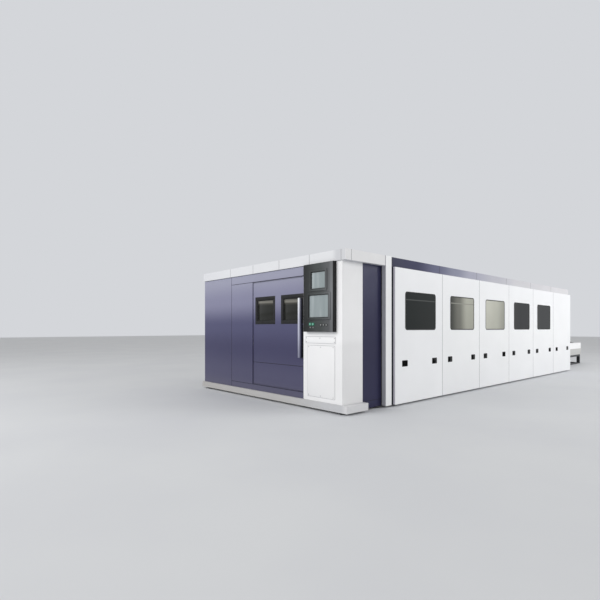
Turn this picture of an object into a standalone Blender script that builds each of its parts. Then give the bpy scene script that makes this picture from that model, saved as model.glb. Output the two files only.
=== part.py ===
"""Enclosed fiber laser cutting machine with a two-pallet exchange station.

Metres, +Z up. X runs across the machine, Y runs from the operator's front (low Y) to the exchange
station at the rear (high Y). The origin is on the floor, at the middle of the whole footprint.
"""
import math

import bpy
import bmesh
from mathutils import Matrix, Vector

# Fits and sheet metal
SEAT_GAP = 0.0003           # touching neighbours keep this much between them
PANEL_GAP = 0.005           # visible joint between neighbouring cover panels
SHEET = 0.002               # folded cover sheet
CUT_OVERRUN = 0.01          # how far a cutting shape passes the face it opens
MERGE_DISTANCE = 0.00002    # corners closer than this are one corner
FLAT_ANGLE = 0.0005         # faces that meet at a smaller angle, in radians, are one face

# Heights of the enclosure
FOOT_HEIGHT = 0.03
PLINTH_HEIGHT = 0.10
ROOF_HEIGHT = 2.23
CROWN_HEIGHT = 0.147
COVER_TOP_STEP = 0.003      # the side covers end this far below the crown's lower edge
FRAME_TOP_STEP = 0.04       # the frame ends this far below the top of the crown

# Lengths along Y, measured back from the plinth's front face
PROUD_REACH = 0.055         # the handle stands this far ahead of the plinth
LOADER_REACH = 3.229        # the station reaches this far behind the last cover
PANEL_SETBACK = 0.03
CROWN_SETBACK = 0.01
COLUMN_DEPTH = 0.45
POST_FRONT = 0.872
POST_REAR = 1.014
COVERS_FRONT = 1.065
COVER_PITCH = 1.3585
COVER_COUNT = 6
WINDOW_COUNT = 5

# Widths across X: half the width over the covers, and how far the other faces stand inside it
COVER_HALF = 1.892
COVER_DEPTH = 0.095
PLINTH_STEP = 0.007
POST_STEP = 0.025
CROWN_STEP = 0.032
LEFT_BODY_STEP = 0.047
FASCIA_STEP = 0.055
RIGHT_BODY_STEP = 0.107
REAR_WALL_DEPTH = 0.04

# Front, left to right
LEFT_PANEL_WIDTH = 0.945
NARROW_PANEL_WIDTH = 0.642
COLUMN_WIDTH = 0.772
HEADER_HEIGHT = 0.138
SILL_TOP = 0.222
DOOR_SEAM_Z = 0.602

# Front door
DOOR_GAP = 0.006
LEAF_DEPTH = 0.04
DOOR_RUNNING_GAP = 0.0015   # between the leaf and the panels it slides behind
DOOR_WINDOW_INSET = 0.056   # from the leaf's left edge to the left window
DOOR_WINDOW_SPACE = 0.144   # between the two windows
DOOR_WINDOW_HEIGHT = 0.452
DOOR_WINDOW_DROP = 0.24     # from the door's top rail down to the windows
WINDOW_BORDER = 0.055
HANDLE_SIDE_BORDER = 0.09    # the right window's border is wide enough to carry the handle
GLASS_RECESS = 0.018
GLASS_THICKNESS = 0.006
HANDLE_EDGE = 0.04          # from the handle to the leaf's right edge
HANDLE_WIDTH = 0.042
HANDLE_LENGTH = 0.91
HANDLE_DROP = 0.057         # from the windows' tops down to the handle's
HANDLE_DEPTH = 0.016
HANDLE_ROUND = 0.006        # radius of the bar's long edges
HANDLE_POST_INSET = 0.10
HANDLE_POST_HEIGHT = 0.03
RECESS_WIDTH = 0.04
RECESS_DEPTH = 0.02

# Control housing and console
HOUSING_FACE = -0.033       # its front, measured like the other lengths along Y
HOUSING_HEIGHT = 0.964
HOUSING_WIDTH = 0.591
HOUSING_INSET = 0.112       # from the column's right face to the housing
HOUSING_TOP_GAP = 0.003
HOUSING_EDGE = 0.012
COLUMN_EDGE = 0.012         # bend radius of the column's free corner
SCREEN_RECESS = 0.002       # from the housing's face back to the glass
SCREEN_THICKNESS = 0.006
UPPER_SCREEN = (0.162, 0.118, 0.286, 0.243)     # from the housing's left and top; width, height
LOWER_SCREEN = (0.114, 0.442, 0.396, 0.325)
SCREEN_BEZEL = 0.03
BEZEL_PROUD = 0.012         # the bezels stand this far ahead of the housing
BEZEL_SLOPE = 0.006         # and narrow by this much on each side towards their front
BUTTON_RADIUS = 0.016
SMALL_BUTTON_RADIUS = 0.011
BUTTON_PROUD = 0.010
BUTTON_BACK = 0.012
BUTTON_CLEARANCE = 0.0005
LAMP_RADIUS = 0.009
LAMP_PROUD = 0.004
LIT_BUTTON_INSETS = (0.141, 0.199)            # from the housing's left
SMALL_BUTTON_INSETS = (0.357, 0.411, 0.465)
LIT_BUTTON_RISE = 0.109                       # from the housing's lower edge
SMALL_BUTTON_RISE = 0.096
LAMP_RISE = 0.062
STRIP_OVERHANG = 0.021      # the strip starts this far left of the housing
STRIP_WIDTH = 0.594
STRIP_HEIGHT = 0.09
STRIP_DROP = 0.071          # from the housing down to the strip
COVER_PLATE_INSET = 0.016
COVER_PLATE_WIDTH = 0.544
COVER_PLATE_DROP = 0.035    # from the strip down to the cover plate
COVER_PLATE_RISE = 0.06     # from the plinth up to the cover plate
PLATE_THICKNESS = 0.003

# Long enclosure
FRONT_TRAY = 0.012
SIDE_WINDOW_WIDTH = 0.87
SIDE_WINDOW_OFFSET = 0.262  # from a cover's front edge to its window
SIDE_WINDOW_HEIGHT = 0.584
SIDE_WINDOW_DROP = 0.354    # from a cover's top edge down to its window
SIDE_WINDOW_RADIUS = 0.045
CORNER_STEPS = 4
PANE_THICKNESS = 0.005
GRIP_BOTTOM = 0.585
GRIP_HEIGHT = 0.093
GRIP_WIDTH = 0.145
GRIP_INSET = 0.18           # from a cover's edge to its grip
GRIP_DEPTH = 0.035
GRIP_WALL = 0.004
SEAM_WIDTH = 0.004
CROWN_FIRST_LENGTH = 0.951
CROWN_LENGTH = 0.6885
CROWN_LENGTH_COUNT = 4
CROWN_CORNER = 0.085
CROWN_SIDE_SEAM = 0.12
BASE_STRIP_HEIGHT = 0.10
BASE_STRIP_GROOVE = 0.006
GROOVE_DEPTH = 0.001

# Frame
TUBE = 0.06
POST_TUBE = 0.12
RAIL_LAP = 0.02             # the door's rails show this much inside the panels round the door
DOOR_BOTTOM_GAP = 0.003
ROOF_THICKNESS = 0.02
FOOT_RADIUS = 0.045
FOOT_STEM_RADIUS = 0.018
FOOT_PAD = 0.012
FOOT_STEPS = 8
ROUND_STEPS = 16

# Machine bed, gantry and head
BED_FRONT = 1.35
BED_REAR = 7.70
BED_SIDE_GAP = 0.1767       # from the bed's beams to the frame's posts
BED_BEAM_WIDTH = 0.30
BED_BOTTOM = 0.10
BED_TOP = 0.95
BED_FLOOR = 0.02
BED_WALL = 0.012
BED_PAD_COUNT = 5
BED_END_HEIGHT = 0.50
BED_END_LENGTH = 0.20
LEDGE_FRONT = 2.70
BED_PAD_LENGTH = 0.20
LEDGE_REACH = 0.075         # the ledges stand this far out of the beams
LEDGE_THICKNESS = 0.02
TRACK_Z = 0.56
RAIL_WIDTH = 0.03
RAIL_HEIGHT = 0.035
RAIL_SECTION_SHARES = ((1.0, 0.0), (1.0, 0.45), (0.7, 0.55), (0.7, 0.65), (1.0, 0.8), (1.0, 1.0))
GANTRY_PARK = 2.10          # middle of the beam at rest
GANTRY_DEPTH = 0.26
GANTRY_END_GAP = 0.03       # from the beam's ends to the bed's outer faces
GANTRY_BOTTOM = 1.05
GANTRY_TOP = 1.38
GANTRY_EDGE = 0.03
GUIDE_WIDTH = 0.02          # the two guide rails along the beam's front
GUIDE_HEIGHT = 0.014
GUIDE_INSET = 0.05          # from the beam's upper and lower edges to the guides
GUIDE_END_GAP = 0.06
DRIVE_RADIUS = 0.034        # the servo drives that stand on the saddles behind the beam
DRIVE_HEIGHT = 0.20
DRIVE_GAP = 0.006
SADDLE_WIDTH = 0.16
SADDLE_LENGTH = 0.42
CARRIAGE_HALF = 0.18
CARRIAGE_BOTTOM = 1.00
CARRIAGE_TOP = 1.46
CARRIAGE_DEPTH = 0.07
SLIDE_HALF = 0.085
SLIDE_BOTTOM = 1.02
SLIDE_TOP = 1.52
SLIDE_DEPTH = 0.06
LIFT_DRIVE_RADIUS = 0.028
LIFT_DRIVE_HEIGHT = 0.12
SOCKET_TOP = 1.49           # the fibre's socket on top of the collimator
SOCKET_RADIUS = 0.018
COLLIMATOR_TOP = 1.43
COLLIMATOR_RADIUS = 0.033
HEAD_RADIUS = 0.045
HEAD_TOP = 1.34
HEAD_NECK_TOP = 1.19
HEAD_NECK_BOTTOM = 1.17
HEAD_NECK_RADIUS = 0.038
NOZZLE_TIP = 0.885
NOZZLE_RADIUS = 0.006
NOZZLE_SHOULDER = 0.96
HEAD_SHOULDER = 1.04
NOZZLE_NECK = 0.022
NOZZLE_NUT_BOTTOM = 0.925
NOZZLE_BODY_RADIUS = 0.015

# Exchange station, lift deck and pallets
DECK_SIDE_GAP = 0.007       # the deck's beams stand this much wider apart than the bed's
DECK_FRONT = 7.86
DECK_FLOOR_GAP = 0.04       # from the lower track down to the deck's lower edge
DECK_TIE = 0.022
DECK_END = 0.06
DECK_BEAM = 0.09
DECK_RIM = 0.124            # the deck's beams stand this far above the upper track
DECK_LEVELS = (0.0, -0.22)  # each track's height relative to the bed's track
LOADER_RAIL = 0.06
LOADER_INSET = 0.09
LOADER_LEG = 0.08
LIFT_PIN = 0.05
LIFT_PIN_CLEARANCE = 0.001
LIFT_PIN_FLOOR = 0.04
LOADER_LEG_COUNT = 4
PALLET_FRONT = 8.12
PALLET_LENGTH = 4.20
PALLET_SIDE_GAP = 0.01      # from the pallet's frame to the ledges
PALLET_RAIL = 0.09
PALLET_RAIL_HEIGHT = 0.11
PALLET_CLEARANCE = 0.015
SLAT_COUNT = 18
SLAT_THICKNESS = 0.006
SLAT_SLOT_DEPTH = 0.05
SLAT_HEIGHT = 0.11
SLAT_TOOTH = 0.03
SLAT_TOOTH_COUNT = 10
SLAT_END_GAP = 0.02
WHEEL_RADIUS = 0.05
WHEEL_WIDTH = 0.035
WHEEL_COUNT = 4
AXLE_RADIUS = 0.015

# Partition, gate and rear wall
PARTITION_COVER_COUNT = 5   # the partition stands behind this many covers
GATE_SIDE_GAP = 0.023       # from the deck's sides to the opening's
GATE_OPENING_TOP = 1.20
GATE_LAP = 0.04
GATE_OPEN_GAP = 0.015       # the open gate hangs this far above the opening
GATE_HEIGHT = 0.62
GATE_THICKNESS = 0.012
GATE_GUIDE = 0.03
GATE_RIB_COUNT = 5
GATE_RIB_DEPTH = 0.006      # the ribs pressed along the gate are this deep
REAR_SIDE_GAP = 0.153       # from the deck's sides to the rear opening's
REAR_OPENING_TOP = 1.28

# Electrical cabinet and work light
CABINET_WIDTH = 0.70
CABINET_FRONT = 0.20
CABINET_DEPTH = 0.60
CABINET_HEIGHT = 1.70
CABINET_BORDER = 0.03       # from the cabinet's edges to the seam round its two doors
CABINET_SEAM = 0.004
CABINET_SEAM_DEPTH = 0.003
VENT_COUNT = 6
VENT_PITCH = 0.03
VENT_HEIGHT = 0.008
VENT_RISE = 0.10            # from the doors' lower edge up to the first vent slot
VENT_MARGIN = 0.07          # from a door's sides to its vent slots
LIGHT_WIDTH = 0.12
LIGHT_LENS_WIDTH = 0.08
LIGHT_HEIGHT = 0.05

# Everything that follows from the sizes above
COVERS_REAR = COVERS_FRONT + COVER_COUNT * COVER_PITCH
MACHINE_END = COVERS_REAR + LOADER_REACH
FRONT = -(MACHINE_END - PROUD_REACH) / 2
PLINTH_TOP = FOOT_HEIGHT + PLINTH_HEIGHT
CROWN_BOTTOM = ROOF_HEIGHT - CROWN_HEIGHT
COVER_TOP = CROWN_BOTTOM - COVER_TOP_STEP
FRAME_TOP = ROOF_HEIGHT - FRAME_TOP_STEP
HEADER_BOTTOM = CROWN_BOTTOM - HEADER_HEIGHT
FRONT_RAIL_BOTTOM = HEADER_BOTTOM - RAIL_LAP
SILL_RAIL_TOP = SILL_TOP + RAIL_LAP
PLINTH_HALF = COVER_HALF - PLINTH_STEP
POST_HALF = COVER_HALF - POST_STEP
CROWN_HALF = COVER_HALF - CROWN_STEP
BODY_LEFT = COVER_HALF - LEFT_BODY_STEP
FASCIA_HALF = COVER_HALF - FASCIA_STEP
BODY_RIGHT = COVER_HALF - RIGHT_BODY_STEP
COVER_BACK = COVER_HALF - COVER_DEPTH
FRAME_SIDE = COVER_BACK - SEAT_GAP
CELL_RIGHT = BODY_RIGHT - FRONT_TRAY - SEAT_GAP
CELL_LEFT = BODY_LEFT - FRONT_TRAY - SEAT_GAP
CELL_FRONT = PANEL_SETBACK + FRONT_TRAY + SEAT_GAP
LEAF_FRONT = CELL_FRONT + DOOR_RUNNING_GAP
LEAF_REAR = LEAF_FRONT + LEAF_DEPTH
LEAF_TOP = FRONT_RAIL_BOTTOM - SEAT_GAP
LEAF_BOTTOM = SILL_RAIL_TOP + DOOR_BOTTOM_GAP
LEFT_SEAM_X = LEFT_PANEL_WIDTH - BODY_LEFT
NARROW_SEAM_X = LEFT_SEAM_X + NARROW_PANEL_WIDTH
DOOR_RIGHT_X = BODY_RIGHT - COLUMN_WIDTH
HOUSING_RIGHT_X = BODY_RIGHT - HOUSING_INSET
HOUSING_LEFT_X = HOUSING_RIGHT_X - HOUSING_WIDTH
HOUSING_TOP = CROWN_BOTTOM - HOUSING_TOP_GAP
HOUSING_BOTTOM = HOUSING_TOP - HOUSING_HEIGHT
STRIP_TOP = HOUSING_BOTTOM - STRIP_DROP
STRIP_BOTTOM = STRIP_TOP - STRIP_HEIGHT
LEAF_LEFT_X = NARROW_SEAM_X + DOOR_GAP / 2
LEAF_RIGHT_X = DOOR_RIGHT_X - DOOR_GAP
DOOR_WINDOW_WIDTH = (LEAF_RIGHT_X - LEAF_LEFT_X - DOOR_WINDOW_INSET - DOOR_WINDOW_SPACE) / 2
DOOR_WINDOW_LEFTS = (LEAF_LEFT_X + DOOR_WINDOW_INSET, LEAF_RIGHT_X - DOOR_WINDOW_WIDTH)
DOOR_WINDOW_TOP = LEAF_TOP + SEAT_GAP - DOOR_WINDOW_DROP
DOOR_WINDOW_BOTTOM = DOOR_WINDOW_TOP - DOOR_WINDOW_HEIGHT
HANDLE_LEFT_X = LEAF_RIGHT_X - HANDLE_EDGE - HANDLE_WIDTH
HANDLE_TOP = DOOR_WINDOW_TOP - HANDLE_DROP
HANDLE_BOTTOM = HANDLE_TOP - HANDLE_LENGTH
SIDE_WINDOW_BOTTOM = COVER_TOP - SIDE_WINDOW_DROP - SIDE_WINDOW_HEIGHT
DECK_BOTTOM = TRACK_Z + DECK_LEVELS[1] - DECK_FLOOR_GAP
DECK_TOP = TRACK_Z + DECK_RIM
CROWN_IN_RIGHT = CELL_RIGHT + SEAT_GAP
CROWN_IN_LEFT = CELL_LEFT + SEAT_GAP
CROWN_IN_FRONT = CELL_FRONT - SEAT_GAP
CELL_REAR = POST_FRONT - SEAT_GAP
ROOF_BOTTOM = FRAME_TOP + SEAT_GAP
ROOF_TOP = ROOF_BOTTOM + ROOF_THICKNESS
BED_OUTER = FRAME_SIDE - POST_TUBE - BED_SIDE_GAP
BED_INNER = BED_OUTER - BED_BEAM_WIDTH
RAIL_CENTRE = (BED_OUTER + BED_INNER) / 2
LEDGE_INNER = BED_INNER - LEDGE_REACH
GANTRY_HALF = BED_OUTER - GANTRY_END_GAP
PALLET_HALF = LEDGE_INNER - PALLET_SIDE_GAP
DECK_HALF = BED_INNER + DECK_SIDE_GAP + DECK_BEAM
GATE_OPENING_HALF = DECK_HALF + GATE_SIDE_GAP
GATE_HALF = GATE_OPENING_HALF + GATE_LAP
GATE_BOTTOM = GATE_OPENING_TOP + GATE_OPEN_GAP
REAR_OPENING_HALF = DECK_HALF + REAR_SIDE_GAP


def steel(name, colour, roughness, metallic=0.0):
    """A paint, metal or plastic finish as one Principled material."""
    finish = bpy.data.materials.new(name)
    finish.use_nodes = True
    shader = finish.node_tree.nodes["Principled BSDF"]
    shader.inputs["Base Color"].default_value = (*colour, 1.0)
    shader.inputs["Roughness"].default_value = roughness
    shader.inputs["Metallic"].default_value = metallic
    finish.diffuse_color = (*colour, 1.0)
    return finish


def box(bm, xs, ys, zs):
    """Adds a box; ys are lengths measured back from the plinth's front face."""
    spans = (xs, (FRONT + ys[0], FRONT + ys[1]), zs)
    for corner in bmesh.ops.create_cube(bm, size=2.0)["verts"]:
        corner.co = [span[1] if share > 0 else span[0] for span, share in zip(spans, corner.co)]


def boxes(*spans):
    """A mesh that holds one box for each (xs, ys, zs)."""
    bm = bmesh.new()
    for xs, ys, zs in spans:
        box(bm, xs, ys, zs)
    return bm


def prism(bm, outline, axis, start, end):
    """Extrudes an outline along X, from (y, z) points, or along Y, from (x, z), or Z, from (x, y)."""
    if axis == "X":
        corners = [(start, FRONT + u, v) for u, v in outline]
        travel = (end - start, 0, 0)
    elif axis == "Y":
        corners = [(u, FRONT + start, v) for u, v in outline]
        travel = (0, end - start, 0)
    else:
        corners = [(u, FRONT + v, start) for u, v in outline]
        travel = (0, 0, end - start)
    face = bm.faces.new([bm.verts.new(corner) for corner in corners])
    grown = bmesh.ops.extrude_face_region(bm, geom=[face])["geom"]
    moved = [part for part in grown if isinstance(part, bmesh.types.BMVert)]
    bmesh.ops.translate(bm, verts=moved, vec=travel)


def circle(middle, radius, steps=ROUND_STEPS):
    """Points round a circle."""
    turn = 2 * math.pi / steps
    return [(middle[0] + radius * math.cos(turn * i), middle[1] + radius * math.sin(turn * i))
            for i in range(steps)]


def rounded(left, bottom, width, height, radius):
    """A rectangle's outline with round corners."""
    centres = ((left + width - radius, bottom + height - radius), (left + radius, bottom + height - radius),
               (left + radius, bottom + radius), (left + width - radius, bottom + radius))
    points = []
    for quarter, (u, v) in enumerate(centres):
        for step in range(CORNER_STEPS + 1):
            angle = math.pi / 2 * (quarter + step / CORNER_STEPS)
            points.append((u + radius * math.cos(angle), v + radius * math.sin(angle)))
    return points


def mesh_from(bm, name):
    """Closes a bmesh into a mesh with its faces pointing out."""
    bmesh.ops.recalc_face_normals(bm, faces=bm.faces)
    mesh = bpy.data.meshes.new(name)
    bm.to_mesh(mesh)
    bm.free()
    return mesh


def combine(piece, tool_bm, operation):
    """Joins a mesh to a piece, or cuts it out of the piece, and keeps the result."""
    tool = bpy.data.objects.new("tool", mesh_from(tool_bm, "tool"))
    bpy.context.collection.objects.link(tool)
    change = piece.modifiers.new("change", "BOOLEAN")
    change.operation = operation
    change.object = tool
    change.use_self = True
    bpy.context.view_layer.update()
    graph = bpy.context.evaluated_depsgraph_get()
    result = bpy.data.meshes.new_from_object(piece.evaluated_get(graph))
    piece.modifiers.clear()
    piece.data = result
    bpy.data.objects.remove(tool)


def tidy_faces(mesh):
    """Joins the flat faces that cuts and welds have split."""
    bm = bmesh.new()
    bm.from_mesh(mesh)
    bmesh.ops.remove_doubles(bm, verts=bm.verts, dist=MERGE_DISTANCE)
    bmesh.ops.dissolve_limit(bm, angle_limit=FLAT_ANGLE, verts=bm.verts, edges=bm.edges)
    bm.to_mesh(mesh)
    bm.free()


def piece(name, bm, finish, joined=None, cut=None, carrier=None):
    """One named piece: a mesh, what is welded to it, and what is cut out of it."""
    made = bpy.data.objects.new(name, mesh_from(bm, name))
    bpy.context.collection.objects.link(made)
    if joined:
        combine(made, joined, "UNION")
    if cut:
        combine(made, cut, "DIFFERENCE")
    complete(made, finish, carrier)
    return made


def complete(made, finish, carrier=None):
    """Gives a shaped piece its finish and its carrier."""
    tidy_faces(made.data)
    made.data.materials.clear()
    made.data.materials.append(finish)
    if carrier:
        seat_on(made, carrier)


def seat_on(made, carrier):
    """Gives a piece its carrier's origin, and leaves its shape where it is."""
    made.data.transform(Matrix.Translation(-world_place(carrier)))
    made.parent = carrier


def world_place(carrier):
    """Where an empty stands, from its own and its parents' places."""
    place = carrier.location.copy()
    if carrier.parent:
        place += world_place(carrier.parent)
    return place


def slide(name, place, parent=None):
    """An empty on the line of a sliding joint."""
    empty = bpy.data.objects.new(name, None)
    bpy.context.collection.objects.link(empty)
    spot = Vector((place[0], FRONT + place[1], place[2]))
    if parent:
        spot -= world_place(parent)
        empty.parent = parent
    empty.location = spot
    return empty


def plinth(white):
    """The white channel round the foot of the front cell, in three lengths folded from one sheet."""
    outer = boxes(((-PLINTH_HALF, PLINTH_HALF), (0, COLUMN_DEPTH), (FOOT_HEIGHT, PLINTH_TOP)))
    hollow = boxes(((-CELL_LEFT - SEAT_GAP, CELL_RIGHT + SEAT_GAP), (CELL_FRONT - SEAT_GAP, MACHINE_END),
                    (0, ROOF_HEIGHT)),
                   ((-PLINTH_HALF + SHEET, PLINTH_HALF - SHEET), (SHEET, MACHINE_END),
                    (FOOT_HEIGHT + SHEET, PLINTH_TOP - SHEET)))
    piece("front_plinth", outer, white, cut=hollow)


def crown(white):
    """The fascia round the roof edge of the front cell, a channel with grooves where its lengths butt."""
    outer = boxes(((-CROWN_HALF, CROWN_HALF), (CROWN_SETBACK, CELL_REAR), (CROWN_BOTTOM, ROOF_HEIGHT)))
    hollow = boxes(((-CROWN_IN_LEFT, CROWN_IN_RIGHT), (CROWN_IN_FRONT, MACHINE_END), (0, MACHINE_END)),
                   ((-CROWN_HALF + SHEET, CROWN_HALF - SHEET), (CROWN_SETBACK + SHEET, MACHINE_END),
                    (CROWN_BOTTOM + SHEET, ROOF_HEIGHT - SHEET)))
    made = piece("crown_fascia", outer, white, cut=hollow)
    slots = bmesh.new()
    rise = (CROWN_BOTTOM - CUT_OVERRUN, ROOF_HEIGHT + CUT_OVERRUN)
    seams = [CROWN_FIRST_LENGTH - CROWN_HALF + CROWN_LENGTH * i for i in range(CROWN_LENGTH_COUNT)]
    for seam in seams + [CROWN_HALF - CROWN_CORNER]:
        box(slots, (seam - SEAM_WIDTH / 2, seam + SEAM_WIDTH / 2), (0, CROWN_SETBACK + GROOVE_DEPTH), rise)
    for side in (-1, 1):
        ends = sorted((side * (CROWN_HALF - GROOVE_DEPTH), side * (CROWN_HALF + CUT_OVERRUN)))
        box(slots, ends, (CROWN_SIDE_SEAM, CROWN_SIDE_SEAM + SEAM_WIDTH), rise)
    combine(made, slots, "DIFFERENCE")
    complete(made, white)


def tray(name, xs, zs, finish):
    """A front panel: a sheet folded back at its edges."""
    outer = boxes((xs, (PANEL_SETBACK, PANEL_SETBACK + FRONT_TRAY), zs))
    hollow = boxes(((xs[0] + SHEET, xs[1] - SHEET), (PANEL_SETBACK + SHEET, CELL_FRONT),
                    (zs[0] + SHEET, zs[1] - SHEET)))
    return piece(name, outer, finish, cut=hollow)


def front_panels(purple):
    """The fixed panels left of the door, above it and below it."""
    low = PLINTH_TOP + SEAT_GAP
    high = CROWN_BOTTOM - PANEL_GAP
    tray("left_front_panel", (-BODY_LEFT, LEFT_SEAM_X - PANEL_GAP / 2), (low, high), purple)
    tray("narrow_front_panel", (LEFT_SEAM_X + PANEL_GAP / 2, NARROW_SEAM_X - DOOR_GAP / 2),
         (SILL_TOP + PANEL_GAP, HEADER_BOTTOM - PANEL_GAP), purple)
    across = (LEFT_SEAM_X + PANEL_GAP / 2, DOOR_RIGHT_X - PANEL_GAP)
    tray("header_panel", across, (HEADER_BOTTOM, high), purple)
    tray("sill_panel", across, (low, SILL_TOP), purple)


def side_panels(purple):
    """The purple sheets on both sides of the front cell, with a groove above the base strip."""
    low = FOOT_HEIGHT
    groove = low + BASE_STRIP_HEIGHT
    for side, body_half, inner, front, name in (
            (1, BODY_RIGHT, CELL_RIGHT, COLUMN_DEPTH + PANEL_GAP / 2, "side_panel_right"),
            (-1, BODY_LEFT, CELL_LEFT, CELL_FRONT, "side_panel_left")):
        face = sorted((side * (inner + SEAT_GAP), side * body_half))
        hollow = sorted((side * (inner - CUT_OVERRUN), side * (body_half - SHEET)))
        rim = sorted((side * (body_half - GROOVE_DEPTH), side * (body_half + CUT_OVERRUN)))
        ys = (front, CELL_REAR)
        high = CROWN_BOTTOM - SEAT_GAP
        outer = boxes((face, ys, (low, high)))
        behind = COLUMN_DEPTH + PANEL_GAP / 2
        cut = boxes((hollow, (behind + SHEET, ys[1] - SHEET), (low + SHEET, high - SHEET)),
                    (rim, (ys[0] - CUT_OVERRUN, ys[1] + CUT_OVERRUN), (groove, groove + BASE_STRIP_GROOVE)))
        if side < 0:
            box(cut, hollow, (ys[0] + SHEET, ys[1] - SHEET), (PLINTH_TOP + SEAT_GAP + SHEET, high - SHEET))
            box(cut, (-PLINTH_HALF, 0), (0, behind), (0, PLINTH_TOP + SEAT_GAP))
        piece(name, outer, purple, cut=cut)


def portal(white):
    """The white post-and-lintel ring that closes the front cell against the long enclosure."""
    outer = boxes(((-POST_HALF, POST_HALF), (POST_FRONT, POST_REAR), (FOOT_HEIGHT, ROOF_HEIGHT)))
    inside = boxes(((-FRAME_SIDE - SEAT_GAP, FRAME_SIDE + SEAT_GAP), (0, MACHINE_END), (0, ROOF_BOTTOM)))
    piece("portal_frame", outer, white, cut=inside)


def bent_corner(xs, ys, radius):
    """A rectangle seen from above, with its front right corner bent to a radius."""
    points = [(xs[0], ys[1]), (xs[0], ys[0])]
    for step in range(CORNER_STEPS + 1):
        angle = math.pi / 2 * step / CORNER_STEPS
        points.append((xs[1] - radius + radius * math.sin(angle), ys[0] + radius - radius * math.cos(angle)))
    return points + [(xs[1], ys[1])]


def console(white, pale):
    """The white column that wraps the front right corner, and the plates screwed to its face."""
    xs = (DOOR_RIGHT_X, BODY_RIGHT)
    ys = (PANEL_SETBACK, COLUMN_DEPTH - PANEL_GAP / 2)
    zs = (PLINTH_TOP + SEAT_GAP, CROWN_BOTTOM - SEAT_GAP)
    outer = bmesh.new()
    prism(outer, bent_corner(xs, ys, COLUMN_EDGE), "Z", *zs)
    hollow = boxes(((0, CELL_RIGHT + SEAT_GAP), (CELL_FRONT - SEAT_GAP, MACHINE_END), (0, ROOF_HEIGHT)))
    inside = ((xs[0] + SHEET, xs[1] - SHEET), (ys[0] + SHEET, ys[1] - SHEET))
    prism(hollow, bent_corner(*inside, COLUMN_EDGE - SHEET), "Z", zs[0] + SHEET, zs[1] - SHEET)
    piece("console_column", outer, white, cut=hollow)
    plate = (PANEL_SETBACK - SEAT_GAP - PLATE_THICKNESS, PANEL_SETBACK - SEAT_GAP)
    left = HOUSING_LEFT_X - STRIP_OVERHANG
    strip = boxes(((left, left + STRIP_WIDTH), plate, (STRIP_BOTTOM, STRIP_TOP)))
    piece("console_strip", strip, pale)
    left = HOUSING_LEFT_X + COVER_PLATE_INSET
    cover = boxes(((left, left + COVER_PLATE_WIDTH), plate,
                   (PLINTH_TOP + COVER_PLATE_RISE, STRIP_BOTTOM - COVER_PLATE_DROP)))
    piece("console_cover", cover, pale)


def screen_opening(bm, spot, grow, start, end):
    """A screen's rectangle, grown by a border, from start to end along Y."""
    inset, drop, width, height = spot
    left = HOUSING_LEFT_X + inset
    bottom = HOUSING_TOP - drop - height
    box(bm, (left - grow, left + width + grow), (start, end), (bottom - grow, bottom + height + grow))


def taper_bezel(bm, spot):
    """Draws in the front corners of a screen's bezel, so that its flanks slope."""
    inset, drop, width, height = spot
    middle = Vector((HOUSING_LEFT_X + inset + width / 2, 0, HOUSING_TOP - drop - height / 2))
    reach = (width / 2 + 2 * SCREEN_BEZEL, height / 2 + 2 * SCREEN_BEZEL)
    for corner in bm.verts:
        across = corner.co.x - middle.x
        upward = corner.co.z - middle.z
        if abs(across) < reach[0] and abs(upward) < reach[1] and corner.co.y < FRONT + HOUSING_FACE:
            corner.co.x -= math.copysign(BEZEL_SLOPE, across)
            corner.co.z -= math.copysign(BEZEL_SLOPE, upward)


def button_places():
    """Each push button: name, x, z and radius."""
    places = []
    for kind, insets, rise, radius in (
            ("start_button_%d", LIT_BUTTON_INSETS, LIT_BUTTON_RISE, BUTTON_RADIUS),
            ("panel_button_%d", SMALL_BUTTON_INSETS, SMALL_BUTTON_RISE, SMALL_BUTTON_RADIUS)):
        for i, inset in enumerate(insets):
            places.append((kind % (i + 1), HOUSING_LEFT_X + inset, HOUSING_BOTTOM + rise, radius))
    return places


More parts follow.
